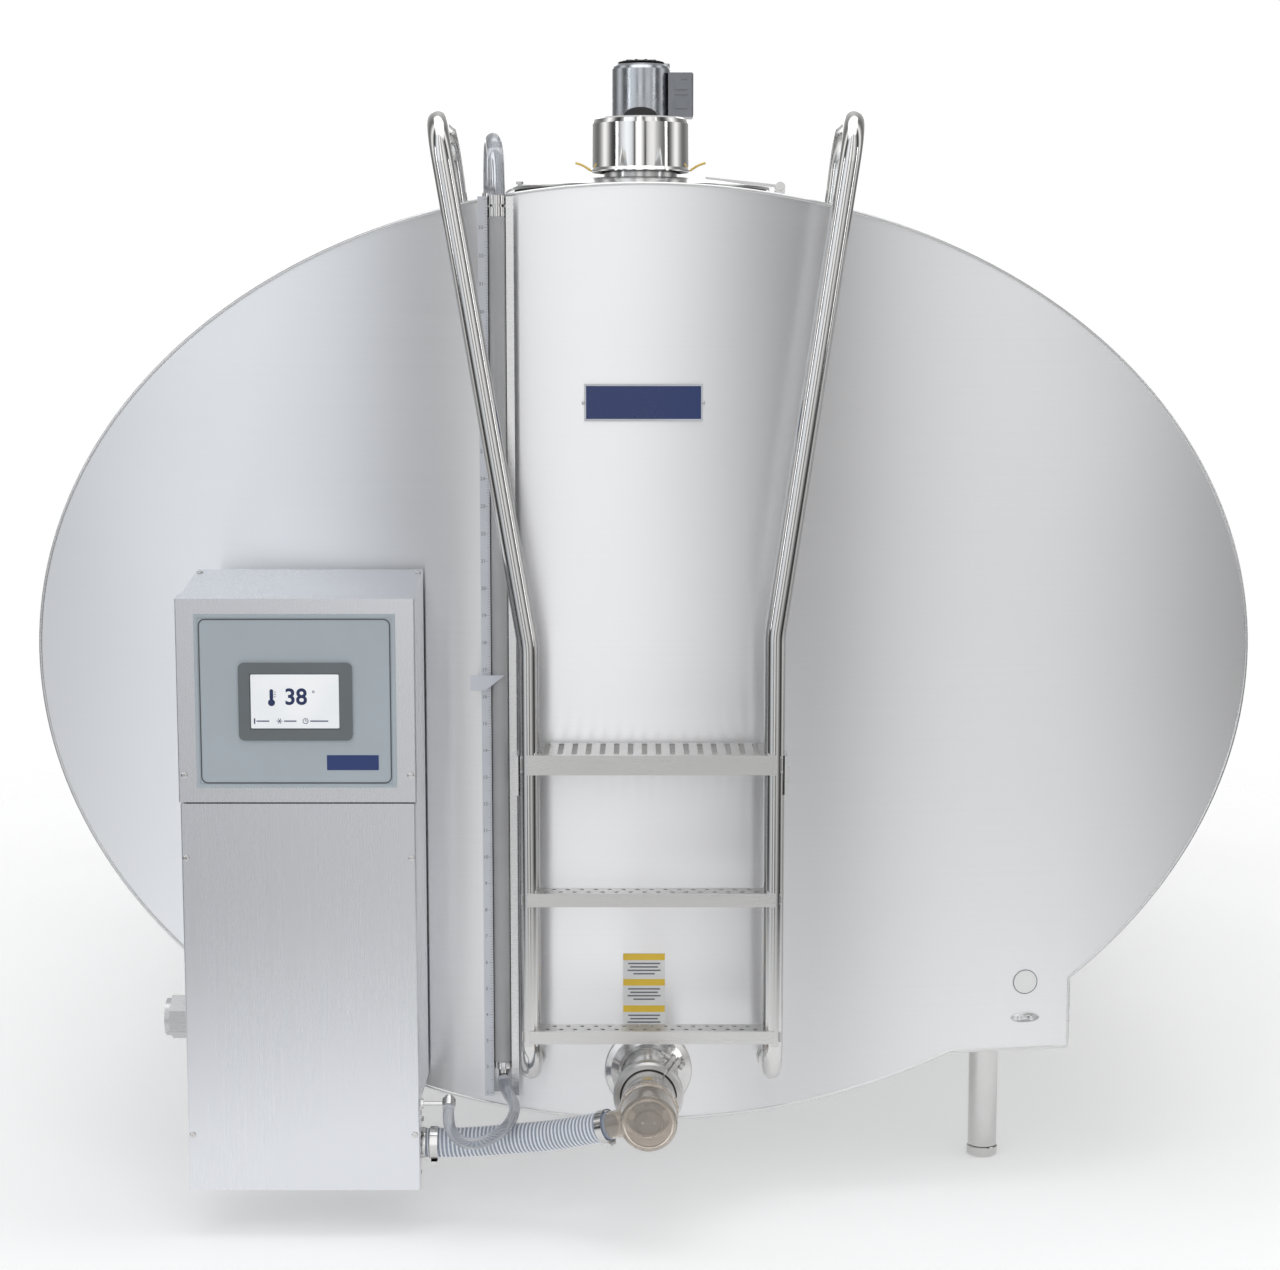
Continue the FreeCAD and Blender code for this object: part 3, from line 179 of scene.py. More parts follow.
# --------------------------------------------------------------- materials
def tree(name):
    m = bpy.data.materials.new(name)
    m.use_nodes = True
    nt = m.node_tree
    b = nt.nodes["Principled BSDF"]
    return m, nt, b


def mapped(nt, scale, rot=(0, 0, 0)):
    tc = nt.nodes.new("ShaderNodeTexCoord")
    mp = nt.nodes.new("ShaderNodeMapping")
    mp.inputs["Scale"].default_value = scale
    mp.inputs["Rotation"].default_value = rot
    nt.links.new(tc.outputs["Object"], mp.inputs["Vector"])
    return mp.outputs["Vector"]


def noise(nt, vec, scale, detail=3.0, rough=0.55):
    n = nt.nodes.new("ShaderNodeTexNoise")
    n.inputs["Scale"].default_value = scale
    n.inputs["Detail"].default_value = detail
    n.inputs["Roughness"].default_value = rough
    nt.links.new(vec, n.inputs["Vector"])
    return n.outputs["Fac"]


def ranged(nt, fac, lo, hi, a=0.3, b=0.7):
    r = nt.nodes.new("ShaderNodeMapRange")
    r.inputs["From Min"].default_value = a
    r.inputs["From Max"].default_value = b
    r.inputs["To Min"].default_value = lo
    r.inputs["To Max"].default_value = hi
    nt.links.new(fac, r.inputs["Value"])
    return r.outputs["Result"]


def math_node(nt, op, x, y):
    n = nt.nodes.new("ShaderNodeMath")
    n.operation = op
    for i, k in enumerate((x, y)):
        if isinstance(k, (int, float)):
            n.inputs[i].default_value = k
        else:
            nt.links.new(k, n.inputs[i])
    return n.outputs[0]


def mix_col(nt, fac, c0, c1):
    n = nt.nodes.new("ShaderNodeMix")
    n.data_type = "RGBA"
    for sock, c in ((n.inputs["A"], c0), (n.inputs["B"], c1)):
        if hasattr(c, "links"):
            nt.links.new(c, sock)
        else:
            sock.default_value = (*c, 1.0)
    if isinstance(fac, (int, float)):
        n.inputs["Factor"].default_value = fac
    else:
        nt.links.new(fac, n.inputs["Factor"])
    return n.outputs["Result"]


def bumped(nt, b, height, strength, dist):
    n = nt.nodes.new("ShaderNodeBump")
    n.inputs["Strength"].default_value = strength
    n.inputs["Distance"].default_value = dist
    nt.links.new(height, n.inputs["Height"])
    nt.links.new(n.outputs["Normal"], b.inputs["Normal"])


def steel(name, base=(0.72, 0.72, 0.72), rough=0.3, spread=0.05, brush=(5, 5, 900), bump=0.12, aniso=0.0,
          rot=0.0, cloud=0.05, cloud_scale=1.6, tangent=None, tone=1.0):
    """sheet or bar stainless: fine brush lines, soft clouding and slight colour drift"""
    m, nt, b = tree(name)
    lines = noise(nt, mapped(nt, brush), 1.0, 5.0, 0.65)
    lines2 = noise(nt, mapped(nt, tuple(k * 0.23 for k in brush)), 1.0, 3.0, 0.6)
    soft = noise(nt, mapped(nt, (1, 1, 1)), cloud_scale, 2.0, 0.5)
    both = math_node(nt, "ADD", math_node(nt, "MULTIPLY", lines, 0.65), math_node(nt, "MULTIPLY", lines2, 0.35))
    r1 = ranged(nt, both, rough - spread, rough + spread)
    r2 = ranged(nt, soft, -cloud, cloud)
    nt.links.new(math_node(nt, "ADD", r1, r2), b.inputs["Roughness"])
    dark = tuple(k * (1 - 0.07 * tone) for k in base)
    light = tuple(min(1.0, k * (1 + 0.05 * tone)) for k in base)
    c = mix_col(nt, ranged(nt, both, 0.0, 1.0), dark, light)
    warm = tuple(k * f for k, f in zip(base, (0.97, 0.965, 0.955)))
    c = mix_col(nt, ranged(nt, soft, 0.0, 0.5), c, warm)
    nt.links.new(c, b.inputs["Base Color"])
    b.inputs["Metallic"].default_value = 1.0
    b.inputs["Anisotropic"].default_value = aniso
    b.inputs["Anisotropic Rotation"].default_value = rot
    if tangent:
        t = nt.nodes.new("ShaderNodeTangent")
        t.direction_type = "RADIAL"
        t.axis = tangent
        nt.links.new(t.outputs["Tangent"], b.inputs["Tangent"])
    bumped(nt, b, both, bump, 0.0004)
    return m


def plastic(name, base, rough=0.4, spread=0.06, grain=700.0, bump=0.1, trans=0.0, ior=1.46, alpha=1.0, coat=0.0,
            mottle=0.04, spec=0.5):
    m, nt, b = tree(name)
    v = mapped(nt, (1, 1, 1))
    fine = noise(nt, v, grain, 3.0, 0.6)
    wide = noise(nt, v, 14.0, 2.0, 0.5)
    nt.links.new(math_node(nt, "ADD", ranged(nt, fine, rough - spread, rough + spread), ranged(nt, wide, -0.03, 0.03)),
                 b.inputs["Roughness"])
    c0 = tuple(max(0.0, k * (1 - mottle)) for k in base)
    c1 = tuple(min(1.0, k * (1 + mottle)) for k in base)
    nt.links.new(mix_col(nt, ranged(nt, wide, 0.0, 1.0), c0, c1), b.inputs["Base Color"])
    b.inputs["Transmission Weight"].default_value = trans
    b.inputs["IOR"].default_value = ior
    b.inputs["Alpha"].default_value = alpha
    b.inputs["Coat Weight"].default_value = coat
    b.inputs["Specular IOR Level"].default_value = spec
    bumped(nt, b, fine, bump, 0.0002)
    return m


M = {}
# the end plates: brushed across, so reflections draw out up and down
M["head"] = steel("end_plate_brushed", (0.885, 0.89, 0.905), 0.34, 0.03, (3.0, 3.0, 750), 0.02, 1.0, 0.25, 0.02, 1.1, "Z", 0.35)
M["shell"] = steel("shell_brushed", (0.80, 0.805, 0.81), 0.34, 0.05, (420, 3.0, 420), 0.06, 0.3, 0.0, 0.04, 1.0)
M["inner"] = steel("vessel_2b", (0.7, 0.7, 0.7), 0.3, 0.04, (60, 60, 60), 0.04)
M["tube"] = steel("rail_polished", (0.70, 0.695, 0.69), 0.11, 0.025, (900, 900, 20), 0.05, 0.0, 0.0, 0.03, 8.0)
M["step"] = steel("step_brushed", (0.68, 0.675, 0.67), 0.3, 0.05, (14, 700, 700), 0.10, 0.0, 0.0, 0.04, 6.0)
M["turned"] = steel("turned_bright", (0.66, 0.655, 0.65), 0.13, 0.03, (260, 900, 260), 0.08, 0.0, 0.0, 0.03, 14.0)
M["cast"] = steel("cast_steel", (0.62, 0.615, 0.61), 0.34, 0.08, (240, 240, 240), 0.30, 0.0, 0.0, 0.05, 30.0)
M["fittings"] = steel("bracket_steel", (0.74, 0.74, 0.745), 0.28, 0.05, (30, 300, 800), 0.08)
M["lid"] = steel("lid_polished", (0.62, 0.62, 0.62), 0.2, 0.04, (30, 30, 500), 0.05, 0.0, 0.0, 0.04, 5.0)
M["cap"] = steel("cap_polished", (0.82, 0.815, 0.81), 0.08, 0.02, (500, 500, 16), 0.05, 0.0, 0.0, 0.03, 9.0)
M["cabinet"] = steel("cabinet_brushed", (0.77, 0.785, 0.82), 0.27, 0.02, (560, 560, 3.0), 0.02, 0.4, 0.0, 0.03, 1.6, "Z", 0.4)
M["tbox"] = steel("box_casting", (0.24, 0.25, 0.27), 0.38, 0.06, (200, 200, 200), 0.2, 0.0, 0.0, 0.05, 20.0)
M["motor"] = steel("motor_can", (0.48, 0.50, 0.53), 0.26, 0.06, (300, 300, 40), 0.10, 0.0, 0.0, 0.06, 16.0)
M["paint"] = plastic("grey_enamel", (0.33, 0.345, 0.36), 0.35, 0.05, 420.0, 0.18, coat=0.3)
M["rubber"] = plastic("black_rubber", (0.025, 0.025, 0.027), 0.6, 0.08, 900.0, 0.2)
M["foam"] = plastic("rigid_foam", (0.78, 0.66, 0.34), 0.85, 0.08, 260.0, 0.5)
M["copper"] = steel("copper_tube", (0.78, 0.42, 0.27), 0.26, 0.06, (40, 200, 40), 0.06)
M["sight"] = plastic("clear_gauge_tube", (0.74, 0.74, 0.75), 0.12, 0.04, 300.0, 0.03, trans=0.42, alpha=1.0)
M["pointer"] = plastic("pale_marker", (0.70, 0.72, 0.78), 0.4, 0.05, 600.0, 0.08)
M["hose"] = plastic("clear_hose", (0.62, 0.64, 0.68), 0.1, 0.04, 120.0, 0.05, trans=0.75, ior=1.42)
M["hose_milky"] = plastic("suction_wall", (0.42, 0.47, 0.56), 0.22, 0.05, 200.0, 0.05, trans=0.35, ior=1.42)
M["rib"] = plastic("suction_rib", (0.80, 0.82, 0.86), 0.3, 0.05, 300.0, 0.06)
M["amber"] = plastic("amber_housing", (0.86, 0.79, 0.71), 0.10, 0.04, 200.0, 0.05, trans=0.8, ior=1.46, coat=0.3)
M["plug"] = plastic("dark_disc", (0.10, 0.096, 0.092), 0.5, 0.08, 500.0, 0.25)
M["film"] = plastic("panel_film", (0.47, 0.525, 0.565), 0.42, 0.04, 900.0, 0.05, mottle=0.015)
M["film_edge"] = plastic("panel_edge", (0.10, 0.11, 0.12), 0.4, 0.04, 900.0, 0.05)
M["bezel"] = plastic("bezel_moulding", (0.155, 0.175, 0.185), 0.33, 0.04, 900.0, 0.06, coat=0.2)
M["board"] = plastic("board_green", (0.04, 0.22, 0.10), 0.4, 0.05, 300.0, 0.1)
M["union"] = steel("union_steel", (0.58, 0.585, 0.59), 0.32, 0.06, (90, 400, 400), 0.15)
M["navy"] = plastic("navy_plate", (0.012, 0.035, 0.155), 0.3, 0.04, 900.0, 0.04, coat=0.3)
M["navy_label"] = plastic("navy_label", (0.028, 0.055, 0.19), 0.38, 0.03, 900.0, 0.03)
M["white_label"] = plastic("white_label", (0.82, 0.82, 0.81), 0.4, 0.04, 700.0, 0.04, mottle=0.02)
M["ruler"] = plastic("ruler_strip", (0.70, 0.72, 0.765), 0.35, 0.04, 600.0, 0.04)
M["plate_edge"] = plastic("plate_edge", (0.62, 0.64, 0.68), 0.3, 0.04, 600.0, 0.04)
M["yellow"] = plastic("yellow_band", (0.85, 0.58, 0.06), 0.45, 0.05, 600.0, 0.05)
M["ink"] = plastic("grey_ink", (0.16, 0.17, 0.2), 0.5, 0.04, 600.0, 0.03)
M["screen_ink"] = plastic("screen_ink", (0.02, 0.035, 0.12), 0.3, 0.03, 900.0, 0.01)
M["tick"] = plastic("etched_tick", (0.34, 0.35, 0.38), 0.5, 0.04, 600.0, 0.03)
M["tie"] = plastic("yellow_tie", (0.86, 0.62, 0.16), 0.4, 0.05, 300.0, 0.08)


def glow_screen():
    m, nt, b = tree("screen_lit")
    n = noise(nt, mapped(nt, (1, 1, 1)), 9.0, 1.0, 0.5)
    c = mix_col(nt, ranged(nt, n, 0.0, 1.0), (0.80, 0.82, 0.84), (0.90, 0.91, 0.92))
    nt.links.new(c, b.inputs["Base Color"])
    nt.links.new(c, b.inputs["Emission Color"])
    b.inputs["Emission Strength"].default_value = 0.25
    b.inputs["Roughness"].default_value = 0.25
    b.inputs["Coat Weight"].default_value = 0.3
    return m


M["screen"] = glow_screen()

by_node = {
    "outer_shell": "shell", "front_head": "head", "rear_head": "head", "inner_vessel": "inner",
    "insulation_foam": "foam", "evaporator_plate": "inner", "refrigerant_stubs": "copper", "support_rails": "inner",
    "legs": "turned", "foot_front_left": "turned", "foot_front_right": "turned", "foot_rear_left": "turned",
    "foot_rear_right": "turned", "manhole_neck": "fittings", "lid_gasket": "rubber", "manhole_lid": "lid",
    "lid_hinge_bracket": "fittings", "lid_hinge_pin": "turned", "vent_cap": "cap", "agitator_port": "turned",
    "shaft_seal": "rubber", "gearbox_housing": "paint", "motor_housing": "motor", "terminal_box": "tbox",
    "agitator_shaft": "turned", "agitator_paddle": "turned", "spray_ball": "turned", "handrail_left": "tube",
    "handrail_right": "tube", "top_step": "step", "lower_steps": "step", "standoff_brackets": "fittings",
    "gauge_channel": "fittings", "gauge_ruler": "ruler", "sight_tube": "sight", "gauge_fittings": "turned",
    "gauge_pointer": "pointer", "gauge_vent_hose": "hose", "gauge_drain_hose": "hose", "hose_clip": "turned",
    "outlet_flange": "turned", "outlet_clamp": "cast", "clamp_wing_nut": "cast", "outlet_valve": "turned",
    "outlet_housing": "amber", "outlet_plug": "plug", "suction_hose": "hose_milky", "hose_clamps": "turned",
    "cabinet_body": "cabinet", "upper_cover": "cabinet", "lower_cover": "cabinet", "display_plate": "film",
    "touch_screen": "bezel", "cabinet_screws": "turned", "control_board": "board", "drain_union": "union",
    "pump_housing": "turned", "pump_impeller": "cast", "pump_motor": "paint", "name_plate": "navy",
}
for n, key in by_node.items():
    ob = NODES[n]
    if not ob.material_slots:
        ob.data.materials.append(M[key])
    for s in ob.material_slots:
        s.material = M[key]


# -------------------------------------------------------------------- hoses
def hose_curve(name, pts_mm, radius, body, mat, res=24):
    cu = bpy.data.curves.new(name, "CURVE")
    cu.dimensions = "3D"
    sp = cu.splines.new("NURBS")
    sp.points.add(len(pts_mm) - 1)
    for p, (x, y, z) in zip(sp.points, pts_mm):
        p.co = (x / 1000.0, y / 1000.0 + YS, z / 1000.0, 1.0)
    sp.order_u = 3
    sp.use_endpoint_u = True
    sp.resolution_u = res
    cu.bevel_depth = radius
    cu.bevel_resolution = 6
    cu.use_fill_caps = True
    ob = bpy.data.objects.new(name, cu)
    scene.collection.objects.link(ob)
    cu.materials.append(mat)
    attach(ob, body)
    return ob


def spline_points(ob):
    """points of a curve object's own smooth line"""
    cu = ob.data.copy()
    cu.bevel_depth = 0.0
    tmp = bpy.data.objects.new("tmp_line", cu)
    scene.collection.objects.link(tmp)
    bpy.context.view_layer.update()
    dg = bpy.context.evaluated_depsgraph_get()
    me = bpy.data.meshes.new_from_object(tmp.evaluated_get(dg))
    pts = [v.co.copy() for v in me.vertices]
    bpy.data.objects.remove(tmp)
    bpy.data.meshes.remove(me)
    bpy.data.curves.remove(cu)
    return pts


def length_of(pts):
    return sum((pts[i + 1] - pts[i]).length for i in range(len(pts) - 1))


suction_pts = [(-398.0, -288.0, 155.0), (-353.0, -288.0, 155.0), (-293.5, -294.3, 159.6), (-224.3, -310.4, 171.2),
               (-140.1, -341.0, 188.8), (-56.4, -385.3, 220.9)]
vent_pts = [(-263.0, -171.5, 1872.2), (-263.0, -171.5, 1926.0), (-270.0, -126.0, 1974.0), (-278.0, -50.0, 1976.0),
            (-283.0, 2.0, 1930.0), (-283.0, 2.0, 1884.3)]
drain_pts = [(-261.9, -179.0, 242.7), (-258.9, -200.4, 227.7), (-235.0, -252.0, 213.5), (-239.0, -335.0, 210.5),
             (-262.0, -372.0, 197.0), (-296.5, -391.0, 187.0), (-325.2, -392.0, 190.0), (-344.6, -384.0, 207.5),
             (-351.6, -366.0, 225.6), (-351.9, -345.0, 240.2)]
suction = hose_curve("suction_hose_wall", suction_pts, 0.0262, "tank", M["hose_milky"])
vent = hose_curve("vent_hose_line", vent_pts, 0.0148, "tank", M["hose"])
drain = hose_curve("drain_hose_line", drain_pts, 0.0105, "tank", M["hose"])
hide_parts("suction_hose")
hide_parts("gauge_vent_hose")
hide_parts("gauge_drain_hose")

# moulded helix of the suction hose, wound along the hose's own line
line = spline_points(suction)
acc = [0.0]
for i in range(len(line) - 1):
    acc.append(acc[-1] + (line[i + 1] - line[i]).length)
total = acc[-1]
fr = frames_along(line)


def at_length(s):
    lo = 0
    while lo < len(acc) - 2 and acc[lo + 1] < s:
        lo += 1
    t = (s - acc[lo]) / max(1e-9, acc[lo + 1] - acc[lo])
    t = min(1.0, max(0.0, t))
    return (line[lo].lerp(line[lo + 1], t), fr[lo][0].lerp(fr[lo + 1][0], t).normalized(),
            fr[lo][1].lerp(fr[lo + 1][1], t).normalized())


pitch = 0.0078
turns = int((total - 0.006) / pitch)
helix = []
for k in range(turns * 28 + 1):
    s = 0.003 + k / 28.0 * pitch
    p, u, v = at_length(s)
    a = 2 * math.pi * k / 28.0
    helix.append(p + (u * math.cos(a) + v * math.sin(a)) * 0.0263)
bm = bmesh.new()
add_tube(bm, helix, 0.0017, 8)
rib = new_obj("suction_hose_rib", bm, "tank", M["rib"])

# ------------------------------------------------- rolled seams of the body
def outline(t, n_arc=160):
    """outer section of the body, moved in by t, as (x, z) points"""
    a, b, zc = 1.148 - t, 0.873 - t, 1.023
    fx, fz = 0.812 - t, 0.270 + t
    z_corner = zc - b * math.sqrt(1 - (fx / a) ** 2)
    a0 = math.atan2((z_corner - zc) / b, fx / a)
    x_low = a * math.sqrt(max(0.0, 1 - ((fz - zc) / b) ** 2))
    pts = []
    for i in range(n_arc + 1):
        w = a0 + (math.pi - 2 * a0) * i / n_arc
        pts.append((a * math.cos(w), zc + b * math.sin(w)))
    for i in range(1, 9):
        pts.append((-fx, z_corner + (fz - z_corner) * i / 8))
    for i in range(1, 9):
        pts.append((-fx + (fx - x_low) * i / 8, fz))
    w0 = math.atan2((fz - zc) / b, -x_low / a)
    w1 = math.atan2((fz - zc) / b, x_low / a)
    for i in range(1, 60):
        w = w0 + (w1 - w0) * i / 60
        pts.append((a * math.cos(w), zc + b * math.sin(w)))
    for i in range(0, 9):
        pts.append((x_low + (fx - x_low) * i / 8, fz))
    for i in range(1, 8):
        pts.append((fx, fz + (z_corner - fz) * i / 8))
    return pts


ring = outline(0.0012)
bm = bmesh.new()
add_tube(bm, [Vector((x, head_y(x) + 0.0014, z)) for x, z in ring], 0.0034, 10, closed=True)
new_obj("front_edge_bead", bm, "tank", M["fittings"])
bm = bmesh.new()
add_tube(bm, [Vector((x, 2 * (1.5 + YS) - head_y(x) - 0.0014, z)) for x, z in ring], 0.0034, 10, closed=True)
new_obj("rear_edge_bead", bm, "tank", M["fittings"])

# ---------------------------------------------------------- plates and labels
bm = bmesh.new()
on = lambda x: head_y(x) - 0.0018
for x0, x1, z0, z1 in ((-0.1083, 0.1086, 1.5314, 1.535), (-0.1083, 0.1086, 1.468, 1.4716),
                       (-0.1083, -0.1047, 1.4716, 1.5314), (0.105, 0.1086, 1.4716, 1.5314)):
    add_grid_plate(bm, x0, x1, z0, z1, on, 0.0008, 20)
new_obj("name_plate_border", bm, "tank", M["plate_edge"], smooth=False)
bm = bmesh.new()
for sx in (-1, 1):
    add_lathe(bm, [(0.0, 0.0034), (0.0018, 0.0030), (0.0030, 0.0018), (0.0034, 0.0), (0.0, 0.0)],
              (sx * 0.1095, head_y(0.1095) - 0.0012, 1.501), (0, -1, 0), 20)
new_obj("name_plate_rivets", bm, "tank", M["turned"])

bm = bmesh.new()
add_grid_plate(bm, -0.0385, 0.0405, 0.3235, 0.472, lambda x: head_y(x) - 0.0002, 0.0006, 8)
new_obj("blank_label", bm, "tank", M["white_label"], smooth=False)
bm = bmesh.new()
for zt in (0.4715, 0.4225, 0.3715):
    add_grid_plate(bm, -0.038, 0.040, zt - 0.0125, zt, lambda x: head_y(x) - 0.0008, 0.0003, 8)
new_obj("blank_label_bands", bm, "tank", M["yellow"], smooth=False)
bm = bmesh.new()
for zt in (0.4715, 0.4225, 0.3715):
    for k, w in enumerate((0.060, 0.052, 0.062, 0.040)):
        z = zt - 0.0190 - 0.0066 * k
        if z > 0.326:
            add_grid_plate(bm, 0.001 - w / 2, 0.001 + w / 2, z - 0.0013, z + 0.0013,
                           lambda x: head_y(x) - 0.0008, 0.0003, 4)
new_obj("blank_label_rules", bm, "tank", M["ink"], smooth=False)


def disc_on_head(bm, cx, cz, r, lift, thick, rx=1.0, n=48, hole=0.0):
    if hole <= 0:
        add_plate(bm, [(cx + r * rx * math.cos(2 * math.pi * k / n), cz + r * math.sin(2 * math.pi * k / n))
                       for k in range(n)], lambda x: head_y(x) - lift, thick)
        return
    rows = []
    for rr, d in ((r, 0.0), (r, thick), (hole, thick), (hole, 0.0)):
        rows.append([bm.verts.new((cx + rr * rx * math.cos(2 * math.pi * k / n),
                                   head_y(cx + rr * rx * math.cos(2 * math.pi * k / n)) - lift - d,
                                   cz + rr * math.sin(2 * math.pi * k / n))) for k in range(n)])
    for i in range(4):
        a, b = rows[i], rows[(i + 1) % 4]
        for k in range(n):
            bm.faces.new((a[k], a[(k + 1) % n], b[(k + 1) % n], b[k]))


bm = bmesh.new()
disc_on_head(bm, 0.726, 0.402, 0.024, 0.0002, 0.0006)
new_obj("round_label", bm, "tank", M["white_label"], smooth=False)
bm = bmesh.new()
disc_on_head(bm, 0.726, 0.402, 0.0236, 0.0008, 0.0003, hole=0.0222)
new_obj("round_label_ring", bm, "tank", M["ink"], smooth=False)

# oval earthing lug plate with two studs
bm = bmesh.new()
n = 40
disc_on_head(bm, 0.7272, 0.332, 0.0088, 0.0002, 0.0016, rx=3.1)
for sx in (-1, 1):
    add_lathe(bm, [(0.0, 0.006), (0.0036, 0.0056), (0.0046, 0.0040), (0.0048, 0.0), (0.0, 0.0)],
              (0.7272 + sx * 0.011, head_y(0.727) - 0.0015, 0.332), (0, -1, 0), 20)
new_obj("oval_plate", bm, "tank", M["fittings"])
# small plate on the side of the foot box
bm = bmesh.new()
add_box(bm, 0.8122, 0.8160, -0.055 + YS, -0.005 + YS, 0.279, 0.364, 0.0012)
new_obj("side_plate", bm, "tank", M["fittings"])

# --------------------------------------------------------------- the ladder
# weld beads where the rail feet and the step plates meet other pieces
bm = bmesh.new()
for x in (-0.207, 0.236):
    ring_pts = [Vector((x + 0.0205 * math.cos(2 * math.pi * k / 36), head_y(x + 0.0205 * math.cos(2 * math.pi * k / 36))
                        - 0.0008, 0.272 + 0.0205 * math.sin(2 * math.pi * k / 36))) for k in range(36)]
    add_tube(bm, ring_pts, 0.0022, 8, closed=True)
for z, lip in ((0.8748, 0.036), (0.6211, 0.025), (0.3643, 0.024)):
    for x in (-0.207, 0.236):
        for k in (-1, 1):
            add_tube(bm, [Vector((x + k * 0.0135, -0.2815 + YS, z - 0.003 - (lip - 0.006) * i / 6)) for i in range(7)],
                     0.0018, 8)
new_obj("ladder_welds", bm, "tank", M["cast"])

# ------------------------------------------------------------- vent cap handle: a steel strap handle given black rubber, its dark colour is painted shade
bm = bmesh.new()
prof = []
for i in range(25):
    a = math.pi * i / 24
    prof.append((-0.006 + 0.0335 * math.cos(a), 2.0478 + 0.0212 * math.sin(a) ** 0.8))
f = [bm.verts.new((x, 0.350 - 0.0145 + YS, z)) for x, z in prof]
b = [bm.verts.new((x, 0.350 + 0.0145 + YS, z)) for x, z in prof]
bm.faces.new(f[::-1])
bm.faces.new(b)
for i in range(len(prof)):
    j = (i + 1) % len(prof)
    bm.faces.new((f[i], f[j], b[j], b[i]))
bmesh.ops.recalc_face_normals(bm, faces=bm.faces)
bmesh.ops.bevel(bm, geom=[e for e in bm.edges if abs(e.verts[0].co.y - e.verts[1].co.y) < 1e-5], offset=0.003,
                segments=3, affect="EDGES", profile=0.6)
# black rubber on the handle is painted shade, not its own colour
new_obj("vent_cap_handle_painted_shade", bm, "vent_cap", M["rubber"])

# dark cowl on the crown of the agitator motor, and its cooling slots
bm = bmesh.new()
add_lathe(bm, [(0.0, 0.0052), (0.030, 0.0050), (0.046, 0.0040), (0.055, 0.0018), (0.057, 0.0), (0.0, 0.0)],
          (-0.006, 1.5 + YS, 2.2668), (0, 0, 1), 56)
for k in range(10):
    a = 2 * math.pi * k / 10
    c, sn = math.cos(a), math.sin(a)
    add_tube(bm, [Vector((-0.006 + c * r, 1.5 + YS + sn * r, 2.2668 + h)) for r, h in ((0.016, 0.0054), (0.030, 0.0053), (0.044, 0.0044))],
             0.0016, 8)
new_obj("motor_cowl", bm, "tank", M["rubber"])

# two tie tails standing out from the rim of the cap
for sx, name in ((-1, "tie_tail_left"), (1, "tie_tail_right")):
    bm = bmesh.new()
    cx, cy = -0.006, 0.350 + YS
    pts = []
    for i in range(13):
        t = i / 12.0
        pts.append(Vector((cx + sx * (0.0985 + 0.031 * t), cy - 0.006 - 0.004 * t, 1.9438 + 0.0150 * t + 0.0025 * math.sin(3 * t))))
    add_tube(bm, pts, 0.0023, 8, flat=0.45)
    new_obj(name, bm, "vent_cap", M["tie"])

# ------------------------------------------------------------ level gauge
GX = -0.263
bm = bmesh.new()
z = 0.215
k = 0
while z < 1.866:
    long = k % 10 == 0
    mid = k % 5 == 0
    w = 0.0062 if long else (0.0046 if mid else 0.0030)
    x1 = GX - 0.0172
    add_box(bm, x1 - w, x1, -0.1806 + YS, -0.1801 + YS, z - 0.0004, z + 0.0004)
    z += 0.005
    k += 1
new_obj("ruler_ticks", bm, "tank", M["tick"], smooth=False)


def text_mesh(name, items, size, body, mat, y):
    """numbers laid flat, facing the front; items are (text, x, z)"""
    bm = bmesh.new()
    for txt, x, zz in items:
        cu = bpy.data.curves.new("tmp_text", "FONT")
        cu.body = txt
        cu.size = size
        cu.align_x = "CENTER"
        cu.align_y = "CENTER"
        cu.extrude = 0.00015
        cu.offset = size * 0.022
        ob = bpy.data.objects.new("tmp_text", cu)
        scene.collection.objects.link(ob)
        bpy.context.view_layer.update()
        dg = bpy.context.evaluated_depsgraph_get()
        me = bpy.data.meshes.new_from_object(ob.evaluated_get(dg))
        me.transform(Matrix.Translation((x, y, zz)) @ Matrix.Rotation(math.radians(90), 4, "X"))
        bm.from_mesh(me)
        bpy.data.objects.remove(ob)
        bpy.data.meshes.remove(me)
        bpy.data.curves.remove(cu)
    return new_obj(name, bm, body, mat, smooth=False)


text_mesh("ruler_numbers", [(str(i + 1), GX - 0.0285, 0.215 + 0.05 * i) for i in range(33)], 0.0088, "tank",
          M["tick"], -0.1803 + YS)

# -------------------------------------------------------- control panel face
CY = -0.354 + YS
bm = bmesh.new()
w = 0.0016
x0, x1, z0, z1 = -0.783, -0.4451, 0.837, 1.131
n = 8


def round_rect(x0, x1, z0, z1, r, n=8):
    pts = []
    for cx, cz, a0 in ((x1 - r, z1 - r, 0), (x0 + r, z1 - r, 90), (x0 + r, z0 + r, 180), (x1 - r, z0 + r, 270)):
        for i in range(n + 1):
            a = math.radians(a0 + 90.0 * i / n)
            pts.append((cx + r * math.cos(a), cz + r * math.sin(a)))
    return pts


def add_frame(bm, outer, inner, y0, y1):
    n = len(outer)
    rows = [[bm.verts.new((x, y0, z)) for x, z in outer], [bm.verts.new((x, y1, z)) for x, z in outer],
            [bm.verts.new((x, y1, z)) for x, z in inner], [bm.verts.new((x, y0, z)) for x, z in inner]]
    for i in range(4):
        a, b = rows[i], rows[(i + 1) % 4]
        for k in range(n):
            bm.faces.new((a[k], a[(k + 1) % n], b[(k + 1) % n], b[k]))


def add_slab(bm, pts, y0, y1):
    add_plate(bm, pts, lambda x: y0, y0 - y1)


